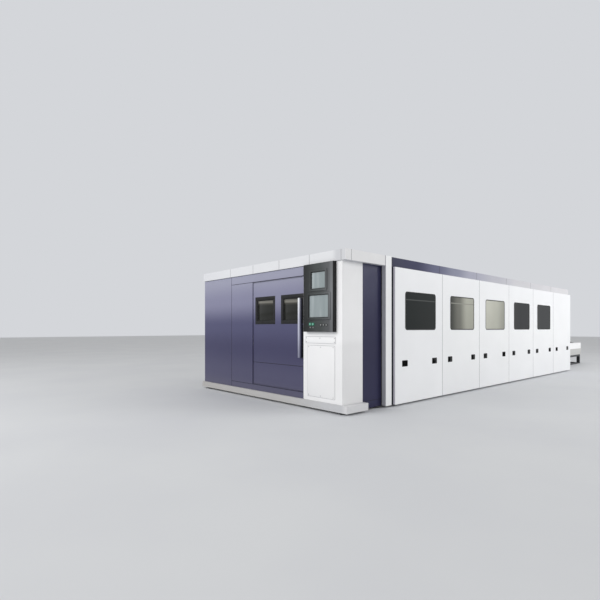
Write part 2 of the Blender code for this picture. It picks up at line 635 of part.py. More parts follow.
def control_housing(charcoal, glass, green, grey):
    """The charcoal control box with raised bezels round two screens, its push buttons and its lamps."""
    ys = (HOUSING_FACE, PANEL_SETBACK - SEAT_GAP)
    shell = bmesh.new()
    outline = bent_corner((HOUSING_LEFT_X, HOUSING_RIGHT_X), ys, HOUSING_EDGE)
    prism(shell, outline, "Z", HOUSING_BOTTOM, HOUSING_TOP)
    bezels = bmesh.new()
    cut = bmesh.new()
    for spot in (UPPER_SCREEN, LOWER_SCREEN):
        back = ys[0] + SCREEN_RECESS + SCREEN_THICKNESS + SEAT_GAP
        screen_opening(cut, spot, 0, ys[0] - BEZEL_PROUD - CUT_OVERRUN, back)
        screen_opening(bezels, spot, SCREEN_BEZEL, ys[0] - BEZEL_PROUD, ys[0] + SCREEN_RECESS)
        taper_bezel(bezels, spot)
    back = ys[0] + BUTTON_BACK + BUTTON_PROUD
    for _, x, z, radius in button_places():
        prism(cut, circle((x, z), radius + BUTTON_CLEARANCE), "Y", ys[0] - CUT_OVERRUN, back)
    piece("control_housing", shell, charcoal, joined=bezels, cut=cut)
    for i, inset in enumerate(LIT_BUTTON_INSETS):
        lamp = bmesh.new()
        prism(lamp, circle((HOUSING_LEFT_X + inset, HOUSING_BOTTOM + LAMP_RISE), LAMP_RADIUS), "Y",
              ys[0] - SEAT_GAP - LAMP_PROUD, ys[0] - SEAT_GAP)
        piece("indicator_lamp_%d" % (i + 1), lamp, grey)
    for name, spot in (("upper_screen", UPPER_SCREEN), ("lower_screen", LOWER_SCREEN)):
        pane = bmesh.new()
        start = ys[0] + SCREEN_RECESS
        screen_opening(pane, spot, -SEAT_GAP, start, start + SCREEN_THICKNESS)
        piece(name, pane, glass)
    for name, x, z, radius in button_places():
        cap = bmesh.new()
        prism(cap, circle((x, z), radius), "Y", ys[0] - BUTTON_PROUD, ys[0] + BUTTON_BACK)
        colour = green if name.startswith("start") else grey
        piece(name, cap, colour, carrier=slide(name + "_travel", (x, ys[0], z)))


def front_door(purple, black, steel_bar):
    """The sliding leaf with its two framed windows, its lower panel and its long handle."""
    carrier = slide("door_slide", (LEAF_RIGHT_X, LEAF_FRONT, LEAF_TOP))
    ys = (LEAF_FRONT, LEAF_REAR)
    low = DOOR_SEAM_Z + PANEL_GAP / 2
    leaf = boxes(((LEAF_LEFT_X, LEAF_RIGHT_X), ys, (LEAF_BOTTOM, LEAF_TOP)))
    seat = LEAF_FRONT + SHEET
    cut = boxes(((LEAF_LEFT_X - CUT_OVERRUN, LEAF_RIGHT_X + CUT_OVERRUN), (ys[0] - CUT_OVERRUN, seat),
                 (LEAF_BOTTOM - CUT_OVERRUN, low)))
    for left in DOOR_WINDOW_LEFTS:
        right = left + DOOR_WINDOW_WIDTH
        box(cut, (left, right), (ys[0] - CUT_OVERRUN, ys[1] + CUT_OVERRUN),
            (DOOR_WINDOW_BOTTOM, DOOR_WINDOW_TOP))
    handle_right = HANDLE_LEFT_X + HANDLE_WIDTH
    box(cut, (handle_right, handle_right + RECESS_WIDTH), (ys[0] - CUT_OVERRUN, ys[0] + RECESS_DEPTH),
        (HANDLE_BOTTOM, DOOR_WINDOW_BOTTOM - CUT_OVERRUN))
    piece("door_leaf", leaf, purple, cut=cut, carrier=carrier)
    skirt = boxes(((LEAF_LEFT_X, LEAF_RIGHT_X), (ys[0], seat - SEAT_GAP),
                   (LEAF_BOTTOM, DOOR_SEAM_Z - PANEL_GAP / 2)))
    piece("door_lower_panel", skirt, purple, carrier=carrier)
    borders = (WINDOW_BORDER, HANDLE_SIDE_BORDER)
    for left, side, border in zip(DOOR_WINDOW_LEFTS, ("left", "right"), borders):
        inner = (left + SEAT_GAP, left + DOOR_WINDOW_WIDTH - SEAT_GAP)
        zs = (DOOR_WINDOW_BOTTOM + SEAT_GAP, DOOR_WINDOW_TOP - SEAT_GAP)
        frame = boxes((inner, ys, zs))
        clear = (inner[0] + WINDOW_BORDER, inner[1] - border)
        rise = (zs[0] + WINDOW_BORDER, zs[1] - WINDOW_BORDER)
        step = boxes((clear, (ys[0] - CUT_OVERRUN, ys[0] + GLASS_RECESS), rise),
                     (clear, (ys[0] + GLASS_RECESS + GLASS_THICKNESS, ys[1] + CUT_OVERRUN), rise))
        piece("door_window_" + side, frame, black, cut=step, carrier=carrier)
    bar = bmesh.new()
    prism(bar, rounded(HANDLE_LEFT_X, -PROUD_REACH, HANDLE_WIDTH, HANDLE_DEPTH, HANDLE_ROUND), "Z",
          HANDLE_BOTTOM, HANDLE_TOP)
    feet = bmesh.new()
    for z in (HANDLE_BOTTOM + HANDLE_POST_INSET, HANDLE_TOP - HANDLE_POST_INSET):
        box(feet, (HANDLE_LEFT_X + HANDLE_DEPTH / 2, handle_right - HANDLE_DEPTH / 2),
            (-PROUD_REACH + HANDLE_DEPTH / 2, LEAF_FRONT - SEAT_GAP),
            (z - HANDLE_POST_HEIGHT / 2, z + HANDLE_POST_HEIGHT / 2))
    piece("door_handle", bar, steel_bar, joined=feet, carrier=carrier)


def cover_span(index):
    """Where cover number index starts and ends along Y."""
    start = COVERS_FRONT + index * COVER_PITCH
    return start + PANEL_GAP / 2, start + COVER_PITCH - PANEL_GAP / 2


def grip_spans(ys):
    """The two recessed grips of a cover, as spans along Y."""
    return ((ys[0] + GRIP_INSET, ys[0] + GRIP_INSET + GRIP_WIDTH),
            (ys[1] - GRIP_INSET - GRIP_WIDTH, ys[1] - GRIP_INSET))


def cover_form(ys, side):
    """A hooked-on side cover: a sheet folded back on all four edges."""
    face = sorted((side * COVER_BACK, side * COVER_HALF))
    hollow = sorted((side * (COVER_BACK - CUT_OVERRUN), side * (COVER_HALF - SHEET)))
    outer = boxes((face, ys, (FOOT_HEIGHT, COVER_TOP)))
    cut = boxes((hollow, (ys[0] + SHEET, ys[1] - SHEET), (FOOT_HEIGHT + SHEET, COVER_TOP - SHEET)))
    return outer, cut


def grip_cup(joined, pockets, span):
    """A recessed grip: a cup set behind the cover's sheet, open to the outside."""
    face = (COVER_HALF - GRIP_DEPTH, COVER_HALF - SHEET / 2)
    box(joined, face, span, (GRIP_BOTTOM, GRIP_BOTTOM + GRIP_HEIGHT))
    box(pockets, (face[0] + GRIP_WALL, COVER_HALF + CUT_OVERRUN), (span[0] + GRIP_WALL, span[1] - GRIP_WALL),
        (GRIP_BOTTOM + GRIP_WALL, GRIP_BOTTOM + GRIP_HEIGHT - GRIP_WALL))


def window_outline(start, inset):
    """A side window's outline, seen along X, drawn in by an inset."""
    return rounded(start + inset, SIDE_WINDOW_BOTTOM + inset, SIDE_WINDOW_WIDTH - 2 * inset,
                   SIDE_WINDOW_HEIGHT - 2 * inset, SIDE_WINDOW_RADIUS - inset)


def side_covers(white, tinted):
    """The right side: six hooked-on covers with two recessed grips each, and five windows."""
    through = (COVER_BACK - CUT_OVERRUN, COVER_HALF + CUT_OVERRUN)
    for index in range(COVER_COUNT):
        ys = cover_span(index)
        outer, cut = cover_form(ys, 1)
        if index < WINDOW_COUNT:
            start = ys[0] + SIDE_WINDOW_OFFSET
            prism(cut, window_outline(start, 0), "X", *through)
            pane = bmesh.new()
            inner = COVER_HALF - SHEET - PANE_THICKNESS
            prism(pane, window_outline(start, SEAT_GAP), "X", inner, COVER_HALF - SHEET / 2)
            piece("side_window_%d" % (index + 1), pane, tinted)
        cover = piece("side_cover_%d" % (index + 1), outer, white, cut=cut)
        cups = bmesh.new()
        pockets = bmesh.new()
        for span in grip_spans(ys):
            grip_cup(cups, pockets, span)
        combine(cover, cups, "UNION")
        combine(cover, pockets, "DIFFERENCE")
        complete(cover, white)


def left_cladding(white):
    """The left side: the same six covers, plain and grooved where they meet."""
    ys = (cover_span(0)[0], cover_span(COVER_COUNT - 1)[1])
    outer, cut = cover_form(ys, -1)
    rim = (-COVER_HALF - CUT_OVERRUN, -COVER_HALF + GROOVE_DEPTH)
    for index in range(1, COVER_COUNT):
        seam = COVERS_FRONT + index * COVER_PITCH
        box(cut, rim, (seam - SEAM_WIDTH / 2, seam + SEAM_WIDTH / 2), (0, COVER_TOP + CUT_OVERRUN))
    piece("left_side_covers", outer, white, cut=cut)


def long_fascias(purple):
    """The fascia above the side covers, with grooves at the seams and a strip down beside the portal."""
    for side, name in ((1, "long_fascia_right"), (-1, "long_fascia_left")):
        face = sorted((side * COVER_BACK, side * FASCIA_HALF))
        hollow = sorted((side * (COVER_BACK - CUT_OVERRUN), side * (FASCIA_HALF - SHEET)))
        rim = sorted((side * (FASCIA_HALF - GROOVE_DEPTH), side * (FASCIA_HALF + CUT_OVERRUN)))
        ys = (POST_REAR + SEAT_GAP, COVERS_REAR)
        strip = (POST_REAR + SEAT_GAP, COVERS_FRONT + PANEL_GAP / 2 - SEAT_GAP)
        zs = (COVER_TOP + PANEL_GAP, ROOF_HEIGHT)
        outer = boxes((face, ys, zs))
        joined = boxes((face, strip, (FOOT_HEIGHT, ROOF_HEIGHT)))
        cut = boxes((hollow, (ys[0] + SHEET, ys[1] - SHEET), (zs[0] + SHEET, zs[1] - SHEET)),
                    (hollow, (strip[0] + SHEET, strip[1] - SHEET), (FOOT_HEIGHT + SHEET, zs[1] - SHEET)))
        for index in range(1, COVER_COUNT):
            seam = COVERS_FRONT + index * COVER_PITCH
            groove = (seam - SEAM_WIDTH / 2, seam + SEAM_WIDTH / 2)
            box(cut, rim, groove, (zs[0], ROOF_HEIGHT + CUT_OVERRUN))
        piece(name, outer, purple, joined=joined, cut=cut)


def roofs(white):
    """The roof skins of the front cell and of the long enclosure."""
    zs = (ROOF_BOTTOM, ROOF_TOP)
    for name, xs, ys in (("front_roof", (-CELL_LEFT, CELL_RIGHT), (CELL_FRONT, CELL_REAR)),
                         ("main_roof", (-FRAME_SIDE, FRAME_SIDE), (POST_REAR + SEAT_GAP, COVERS_REAR))):
        inside = boxes(((xs[0] + SHEET, xs[1] - SHEET), (ys[0] + SHEET, ys[1] - SHEET), (0, zs[1] - SHEET)))
        piece(name, boxes((xs, ys, zs)), white, cut=inside)


def rear_wall(white):
    """The rear end sheet, open where the pallets pass out."""
    ys = (COVERS_REAR + SEAT_GAP, COVERS_REAR + REAR_WALL_DEPTH)
    outer = boxes(((-COVER_BACK, COVER_BACK), ys, (FOOT_HEIGHT, FRAME_TOP)))
    cut = boxes(((-REAR_OPENING_HALF, REAR_OPENING_HALF), (ys[0] - CUT_OVERRUN, ys[1] + CUT_OVERRUN),
                 (0, REAR_OPENING_TOP)),
                ((-COVER_BACK + SHEET, -REAR_OPENING_HALF - SHEET), (0, ys[1] - SHEET),
                 (FOOT_HEIGHT + SHEET, FRAME_TOP - SHEET)),
                ((REAR_OPENING_HALF + SHEET, COVER_BACK - SHEET), (0, ys[1] - SHEET),
                 (FOOT_HEIGHT + SHEET, FRAME_TOP - SHEET)),
                ((-REAR_OPENING_HALF - SHEET, REAR_OPENING_HALF + SHEET), (0, ys[1] - SHEET),
                 (REAR_OPENING_TOP + SHEET, FRAME_TOP - SHEET)))
    piece("rear_wall", outer, white, cut=cut)


def frame_tubes():
    """The welded tubes of the enclosure frame, as spans."""
    spine = (CELL_RIGHT - TUBE, CELL_RIGHT)
    along = (CELL_FRONT, COVERS_REAR)
    base = (FOOT_HEIGHT, FOOT_HEIGHT + TUBE)
    top = (FRAME_TOP - TUBE, FRAME_TOP)
    across = (-CELL_LEFT, CELL_RIGHT)
    front = (CELL_FRONT, CELL_FRONT + TUBE)
    full = (FOOT_HEIGHT, FRAME_TOP)
    tubes = [(across, front, (FOOT_HEIGHT, SILL_RAIL_TOP)), (across, front, (FRONT_RAIL_BOTTOM, FRAME_TOP))]
    for zs in (base, top):
        tubes += [(spine, along, zs), ((-spine[1], -spine[0]), along, zs)]
        tubes.append(((-CELL_LEFT, -CELL_LEFT + 2 * TUBE), (CELL_FRONT, CELL_REAR), zs))
        tubes.append((across, (CELL_REAR - TUBE, CELL_REAR), zs))
    for ys in (front, (COLUMN_DEPTH - TUBE / 2, COLUMN_DEPTH + TUBE / 2), (CELL_REAR - TUBE, CELL_REAR)):
        tubes.append(((-CELL_LEFT, -CELL_LEFT + 2 * TUBE), ys, full))
        tubes.append(((CELL_RIGHT - TUBE, CELL_RIGHT), ys, full))
    for index in range(COVER_COUNT + 1):
        seam = COVERS_FRONT + index * COVER_PITCH
        ys = (max(seam - POST_TUBE / 2, POST_REAR), min(seam + POST_TUBE / 2, COVERS_REAR))
        for side in (1, -1):
            tubes.append((sorted((side * (FRAME_SIDE - POST_TUBE), side * FRAME_SIDE)), ys, full))
        tubes.append(((-CELL_RIGHT, CELL_RIGHT), (ys[0], ys[1]), top))
    bed_side = BED_FRONT - SEAT_GAP
    tubes.append(((-CELL_RIGHT, CELL_RIGHT), (bed_side - TUBE, bed_side), base))
    return tubes


def enclosure_frame(steel_grey):
    """The welded frame that carries every panel, on levelling feet."""
    tubes = frame_tubes()
    frame = piece("enclosure_frame", boxes(tubes[0]), steel_grey, joined=boxes(*tubes[1:]))
    feet = bmesh.new()
    places = [CELL_FRONT + FOOT_RADIUS, COLUMN_DEPTH]
    places += [COVERS_FRONT + index * COVER_PITCH - TUBE / 2 for index in range(COVER_COUNT + 1)]
    for y in places:
        for x in (CELL_RIGHT - FOOT_RADIUS, FOOT_RADIUS - CELL_RIGHT):
            prism(feet, circle((x, y), FOOT_RADIUS, FOOT_STEPS), "Z", 0, FOOT_PAD)
            stem = circle((x, y), FOOT_STEM_RADIUS, FOOT_STEPS)
            prism(feet, stem, "Z", FOOT_PAD / 2, FOOT_HEIGHT + CUT_OVERRUN)
    combine(frame, feet, "UNION")
    complete(frame, steel_grey)


def gate_outline(ys, low, high):
    """The gate's section: flat at the back, with grooves pressed along its front."""
    points = [(ys[1], low), (ys[1], high)]
    step = (high - low) / (2 * GATE_RIB_COUNT + 1)
    for i in range(2 * GATE_RIB_COUNT + 1):
        depth = GATE_RIB_DEPTH * (i % 2)
        points.append((ys[0] + depth, high - step * i - depth))
        points.append((ys[0] + depth, high - step * (i + 1) + depth))
    return points


def partition(steel_grey, black):
    """The wall between cutting bay and exchange bay, with its lifting gate."""
    back = COVERS_FRONT + PARTITION_COVER_COUNT * COVER_PITCH - POST_TUBE / 2 - SEAT_GAP
    ys = (back - SHEET, back)
    low = FOOT_HEIGHT + TUBE + SEAT_GAP
    high = FRAME_TOP - TUBE - SEAT_GAP
    sheet = boxes(((-FRAME_SIDE, FRAME_SIDE), ys, (low, high)))
    guide_z = (DECK_BOTTOM, GATE_BOTTOM + GATE_HEIGHT)
    guide_y = (ys[0] - SEAT_GAP * 2 - GATE_THICKNESS, ys[0] + SHEET / 2)
    inner = GATE_HALF + SEAT_GAP
    guides = boxes(((inner, inner + GATE_GUIDE), guide_y, guide_z),
                   ((-inner - GATE_GUIDE, -inner), guide_y, guide_z))
    opening = boxes(((-GATE_OPENING_HALF, GATE_OPENING_HALF), (ys[0] - CUT_OVERRUN, ys[1] + CUT_OVERRUN),
                     (DECK_BOTTOM, GATE_OPENING_TOP)))
    piece("partition_wall", sheet, steel_grey, joined=guides, cut=opening)
    carrier = slide("gate_slide", (0, ys[0] - GATE_THICKNESS, GATE_BOTTOM))
    gate_y = (ys[0] - SEAT_GAP - GATE_THICKNESS, ys[0] - SEAT_GAP)
    gate = bmesh.new()
    prism(gate, gate_outline(gate_y, GATE_BOTTOM, GATE_BOTTOM + GATE_HEIGHT), "X", -GATE_HALF, GATE_HALF)
    piece("bay_gate", gate, black, carrier=carrier)


def machine_bed(steel_grey):
    """The welded bed: two side beams with pallet ledges, a dust tray, an end beam and pads."""
    along = (BED_FRONT, BED_REAR)
    right = (BED_INNER, BED_OUTER)
    beams = boxes((right, along, (BED_BOTTOM, BED_TOP)))
    joined = boxes(((-BED_OUTER, -BED_INNER), along, (BED_BOTTOM, BED_TOP)),
                   ((-BED_OUTER, BED_OUTER), along, (BED_BOTTOM, BED_BOTTOM + BED_FLOOR)),
                   ((-BED_OUTER, BED_OUTER), (BED_FRONT, BED_FRONT + BED_END_LENGTH),
                    (BED_BOTTOM, BED_END_HEIGHT)))
    step = (BED_REAR - BED_FRONT - BED_PAD_LENGTH) / (BED_PAD_COUNT - 1)
    for side in (1, -1):
        ledge = sorted((side * LEDGE_INNER, side * (BED_INNER + BED_WALL)))
        box(joined, ledge, (LEDGE_FRONT, BED_REAR), (TRACK_Z - LEDGE_THICKNESS, TRACK_Z))
        for index in range(BED_PAD_COUNT):
            start = BED_FRONT + index * step
            pad = sorted((side * (BED_INNER + BED_WALL), side * (BED_OUTER - BED_WALL)))
            box(joined, pad, (start, start + BED_PAD_LENGTH), (0, BED_BOTTOM + BED_FLOOR / 2))
    piece("machine_bed", beams, steel_grey, joined=joined)


def rail_outline(middle, low, high):
    """A linear rail's section, with a waist that the bearing blocks grip."""
    half = RAIL_WIDTH / 2
    right = [(middle + half * across, low + (high - low) * rise) for across, rise in RAIL_SECTION_SHARES]
    left = [(2 * middle - x, z) for x, z in right]
    return right + left[::-1]


def guide_spans():
    """The heights of the two guide rails on the beam's front."""
    return ((GANTRY_BOTTOM + GUIDE_INSET, GANTRY_BOTTOM + GUIDE_INSET + GUIDE_WIDTH),
            (GANTRY_TOP - GUIDE_INSET - GUIDE_WIDTH, GANTRY_TOP - GUIDE_INSET))


def gantry(white, bright, dark):
    """Rails, the cross beam on its saddles, the cross carriage, the vertical slide and the cutting head."""
    for side, name in ((1, "linear_rail_right"), (-1, "linear_rail_left")):
        rail = bmesh.new()
        prism(rail, rail_outline(side * RAIL_CENTRE, BED_TOP + SEAT_GAP, BED_TOP + RAIL_HEIGHT), "Y",
              BED_FRONT, BED_REAR)
        piece(name, rail, bright)
    front = GANTRY_PARK - GANTRY_DEPTH / 2
    rear = GANTRY_PARK + GANTRY_DEPTH / 2
    travel = slide("gantry_travel", (0, GANTRY_PARK, BED_TOP + RAIL_HEIGHT))
    beam = bmesh.new()
    edge = GANTRY_EDGE
    outline = [(front + edge, GANTRY_BOTTOM), (rear - edge, GANTRY_BOTTOM), (rear, GANTRY_BOTTOM + edge),
               (rear, GANTRY_TOP - edge), (rear - edge, GANTRY_TOP), (front + edge, GANTRY_TOP),
               (front, GANTRY_TOP - edge), (front, GANTRY_BOTTOM + edge)]
    prism(beam, outline, "X", -GANTRY_HALF, GANTRY_HALF)
    saddles = bmesh.new()
    for side in (1, -1):
        xs = (side * RAIL_CENTRE - SADDLE_WIDTH / 2, side * RAIL_CENTRE + SADDLE_WIDTH / 2)
        ys = (GANTRY_PARK - SADDLE_LENGTH / 2, GANTRY_PARK + SADDLE_LENGTH / 2)
        box(saddles, xs, ys, (BED_TOP + RAIL_HEIGHT + SEAT_GAP, GANTRY_BOTTOM + edge))
        drive = (side * RAIL_CENTRE, rear + DRIVE_GAP + DRIVE_RADIUS)
        prism(saddles, circle(drive, DRIVE_RADIUS), "Z", GANTRY_BOTTOM, GANTRY_BOTTOM + edge + DRIVE_HEIGHT)
    for zs in guide_spans():
        box(saddles, (GUIDE_END_GAP - GANTRY_HALF, GANTRY_HALF - GUIDE_END_GAP),
            (front - GUIDE_HEIGHT, front + GUIDE_HEIGHT), zs)
    piece("gantry_beam", beam, white, joined=saddles, carrier=travel)
    cross = slide("carriage_travel", (0, front, GANTRY_BOTTOM), travel)
    face = front - SEAT_GAP
    carriage = boxes(((-CARRIAGE_HALF, CARRIAGE_HALF), (face - CARRIAGE_DEPTH, face),
                      (CARRIAGE_BOTTOM, CARRIAGE_TOP)))
    grooves = bmesh.new()
    for low, high in guide_spans():
        box(grooves, (-CARRIAGE_HALF - CUT_OVERRUN, CARRIAGE_HALF + CUT_OVERRUN),
            (front - GUIDE_HEIGHT - SEAT_GAP, front + CUT_OVERRUN), (low - SEAT_GAP, high + SEAT_GAP))
    piece("cross_carriage", carriage, dark, cut=grooves, carrier=cross)
    lift = slide("head_lift", (0, face - CARRIAGE_DEPTH, SLIDE_BOTTOM), cross)
    face -= CARRIAGE_DEPTH + SEAT_GAP
    spindle = boxes(((-SLIDE_HALF, SLIDE_HALF), (face - SLIDE_DEPTH, face), (SLIDE_BOTTOM, SLIDE_TOP)))
    lift_drive = bmesh.new()
    prism(lift_drive, circle((0, face - SLIDE_DEPTH / 2), LIFT_DRIVE_RADIUS), "Z",
          SLIDE_TOP - LIFT_DRIVE_RADIUS, SLIDE_TOP + LIFT_DRIVE_HEIGHT)
    piece("vertical_slide", spindle, white, joined=lift_drive, carrier=lift)
    axis_y = face - SLIDE_DEPTH - SEAT_GAP - HEAD_RADIUS
    head = turned((0, axis_y), (
        (SOCKET_TOP, SOCKET_RADIUS), (COLLIMATOR_TOP, SOCKET_RADIUS), (COLLIMATOR_TOP, COLLIMATOR_RADIUS),
        (HEAD_TOP, COLLIMATOR_RADIUS), (HEAD_TOP, HEAD_RADIUS), (HEAD_NECK_TOP, HEAD_RADIUS),
        (HEAD_NECK_TOP, HEAD_NECK_RADIUS), (HEAD_NECK_BOTTOM, HEAD_NECK_RADIUS),
        (HEAD_NECK_BOTTOM, HEAD_RADIUS), (HEAD_SHOULDER, HEAD_RADIUS), (NOZZLE_SHOULDER, NOZZLE_NECK),
        (NOZZLE_NUT_BOTTOM, NOZZLE_NECK), (NOZZLE_NUT_BOTTOM, NOZZLE_BODY_RADIUS),
        (NOZZLE_TIP, NOZZLE_RADIUS)))
    piece("cutting_head", head, bright, carrier=lift)


def turned(middle, profile):
    """A turned form round a vertical axis, from (height, radius) points listed from top to bottom."""
    bm = bmesh.new()
    rings = []
    for height, radius in profile:
        rings.append([bm.verts.new((x, FRONT + y, height)) for x, y in circle(middle, radius)])
    for upper, lower in zip(rings, rings[1:]):
        for i in range(ROUND_STEPS):
            j = (i + 1) % ROUND_STEPS
            bm.faces.new((upper[i], upper[j], lower[j], lower[i]))
    bm.faces.new(rings[0])
    bm.faces.new(rings[-1])
    return bm


def slat_starts():
    """Where each slat begins along Y, evenly spread between the pallet's end rails."""
    clear = PALLET_LENGTH - 2 * PALLET_RAIL
    pitch = clear / SLAT_COUNT
    return [PALLET_FRONT + PALLET_RAIL + pitch * (i + 1 / 2) - SLAT_THICKNESS / 2 for i in range(SLAT_COUNT)]


def slat_outline(half, low, high):
    """A toothed slat seen along Y: a straight lower edge and a saw-tooth upper edge."""
    pitch = 2 * half / SLAT_TOOTH_COUNT
    points = [(-half, low), (half, low), (half, high - SLAT_TOOTH)]
    for i in range(SLAT_TOOTH_COUNT):
        points.append((half - pitch * (i + 1 / 2), high))
        points.append((half - pitch * (i + 1), high - SLAT_TOOTH))
    return points


def pallet(name, track, carrier, dark):
    """One exchange pallet: a frame on eight wheels, with toothed slats standing across it."""
    bottom = track + PALLET_CLEARANCE
    top = bottom + PALLET_RAIL_HEIGHT
    ys = (PALLET_FRONT, PALLET_FRONT + PALLET_LENGTH)
    inner = PALLET_HALF - PALLET_RAIL
    frame = boxes(((-PALLET_HALF, PALLET_HALF), ys, (bottom, top)))
    middle = (ys[0] + ys[1]) / 2
    cut = boxes(((-inner, inner), (ys[0] + PALLET_RAIL, middle - PALLET_RAIL / 2), (0, MACHINE_END)),
                ((-inner, inner), (middle + PALLET_RAIL / 2, ys[1] - PALLET_RAIL), (0, MACHINE_END)))
    made = piece(name, frame, dark, cut=cut)
    joined = bmesh.new()
    step = (PALLET_LENGTH - 2 * PALLET_RAIL) / (WHEEL_COUNT - 1)
    for i in range(WHEEL_COUNT):
        spot = (ys[0] + PALLET_RAIL + step * i, track + SEAT_GAP + WHEEL_RADIUS)
        for side in (1, -1):
            start = side * (PALLET_HALF + CUT_OVERRUN)
            prism(joined, circle(spot, WHEEL_RADIUS), "X", start, start + side * WHEEL_WIDTH)
            prism(joined, circle(spot, AXLE_RADIUS, FOOT_STEPS), "X", side * (PALLET_HALF - CUT_OVERRUN),
                  start + side * CUT_OVERRUN)
    combine(made, joined, "UNION")
    slats = bmesh.new()
    floor = top - SLAT_SLOT_DEPTH
    outline = slat_outline(PALLET_HALF - SLAT_END_GAP, floor, floor + SLAT_HEIGHT)
    for start in slat_starts():
        prism(slats, outline, "Y", start, start + SLAT_THICKNESS)
    combine(made, slats, "UNION")
    complete(made, dark, carrier)


def pin_places():
    """The middles of the lift pins, and of the station legs that guide them."""
    first = DECK_FRONT + LOADER_INSET + LOADER_LEG / 2
    last = MACHINE_END - LOADER_INSET - LOADER_LEG / 2
    step = (last - first) / (LOADER_LEG_COUNT - 1)
    x = DECK_HALF - LOADER_LEG / 2
    return [(side * x, first + step * i) for i in range(LOADER_LEG_COUNT) for side in (1, -1)]


def square(middle, width):
    """The spans of a square along X and along Y round a middle."""
    return ((middle[0] - width / 2, middle[0] + width / 2), (middle[1] - width / 2, middle[1] + width / 2))


def station(dark, white):
    """The exchange station: a floor frame on legs, and the lift deck whose pins run in the legs."""
    top = DECK_BOTTOM - SEAT_GAP
    ys = (DECK_FRONT + LOADER_INSET, MACHINE_END - LOADER_INSET)
    joined = bmesh.new()
    cut = bmesh.new()
    for side in (1, -1):
        xs = sorted((side * (DECK_HALF - LOADER_LEG), side * DECK_HALF))
        box(joined, xs, ys, (top - LOADER_RAIL, top))
        box(joined, xs, (BED_REAR + SEAT_GAP, ys[1]), (0, LOADER_RAIL / 2))
    for y in (ys[0], ys[1] - LOADER_LEG):
        box(joined, (-DECK_HALF, DECK_HALF), (y, y + LOADER_LEG), (0, LOADER_RAIL / 2))
    pins = bmesh.new()
    for place in pin_places():
        box(joined, *square(place, LOADER_LEG), (0, top))
        box(cut, *square(place, LIFT_PIN + LIFT_PIN_CLEARANCE), (LIFT_PIN_FLOOR, top + CUT_OVERRUN))
        box(pins, *square(place, LIFT_PIN), (LIFT_PIN_FLOOR + SEAT_GAP, DECK_BOTTOM + DECK_TIE))
    middle = (ys[0] + ys[1]) / 2
    tie = boxes(((-DECK_HALF, DECK_HALF), (middle, middle + LOADER_LEG), (0, LOADER_RAIL / 2)))
    piece("station_frame", tie, dark, joined=joined, cut=cut)
    carrier = slide("station_lift", (0, MACHINE_END, DECK_BOTTOM))
    along = (DECK_FRONT, MACHINE_END)
    deep = (DECK_BOTTOM, DECK_TOP)
    deck = boxes(((-DECK_HALF, DECK_HALF), (MACHINE_END - DECK_END, MACHINE_END), deep))
    for side in (1, -1):
        box(pins, sorted((side * (DECK_HALF - DECK_BEAM), side * DECK_HALF)), along, deep)
        for level in DECK_LEVELS:
            track = TRACK_Z + level
            box(pins, sorted((side * LEDGE_INNER, side * (DECK_HALF - BED_WALL))), along,
                (track - LEDGE_THICKNESS, track))
    step = (MACHINE_END - DECK_END - DECK_FRONT) / (LOADER_LEG_COUNT - 1)
    for i in range(LOADER_LEG_COUNT):
        start = DECK_FRONT + step * i
        level = (DECK_BOTTOM, DECK_BOTTOM + DECK_TIE)
        box(pins, (-DECK_HALF, DECK_HALF), (start, start + DECK_END), level)
    piece("lift_deck", deck, white, joined=pins, carrier=carrier)
    return carrier


def cabinet_grooves(left, low):
    """The seams round the cabinet's two doors and the vent slots at their feet, cut into its front."""
    cut = bmesh.new()
    deep = (CABINET_FRONT - CUT_OVERRUN, CABINET_FRONT + CABINET_SEAM_DEPTH)
    xs = (left + CABINET_BORDER, left + CABINET_WIDTH - CABINET_BORDER)
    zs = (low + CABINET_BORDER, low + CABINET_HEIGHT - CABINET_BORDER)
    middle = (xs[0] + xs[1]) / 2
    for x in (*xs, middle):
        box(cut, (x - CABINET_SEAM / 2, x + CABINET_SEAM / 2), deep, zs)
    for z in zs:
        box(cut, (xs[0] - CABINET_SEAM / 2, xs[1] + CABINET_SEAM / 2), deep,
            (z - CABINET_SEAM / 2, z + CABINET_SEAM / 2))
    for start, end in ((xs[0], middle), (middle, xs[1])):
        for i in range(VENT_COUNT):
            z = zs[0] + VENT_RISE + VENT_PITCH * i
            box(cut, (start + VENT_MARGIN, end - VENT_MARGIN), deep, (z, z + VENT_HEIGHT))
    return cut


def cabinet_and_light(grey, lamp):
    """The electrical cabinet in the front cell, and the work light under the roof."""
    ys = (CABINET_FRONT, CABINET_FRONT + CABINET_DEPTH)
    low = FOOT_HEIGHT + TUBE + SEAT_GAP
    left = -CELL_LEFT + 2 * TUBE + SEAT_GAP
    cabinet = boxes(((left, left + CABINET_WIDTH), ys, (low, low + CABINET_HEIGHT)))
    piece("electrical_cabinet", cabinet, grey, cut=cabinet_grooves(left, low))
    high = FRAME_TOP - TUBE - SEAT_GAP
    bar = bmesh.new()
    outline = ((-LIGHT_WIDTH / 2, high), (LIGHT_WIDTH / 2, high), (LIGHT_LENS_WIDTH / 2, high - LIGHT_HEIGHT),
               (-LIGHT_LENS_WIDTH / 2, high - LIGHT_HEIGHT))
    prism(bar, outline, "Y", COVERS_FRONT, COVERS_REAR - COVER_PITCH * 3 / 2)
    piece("work_light", bar, lamp)


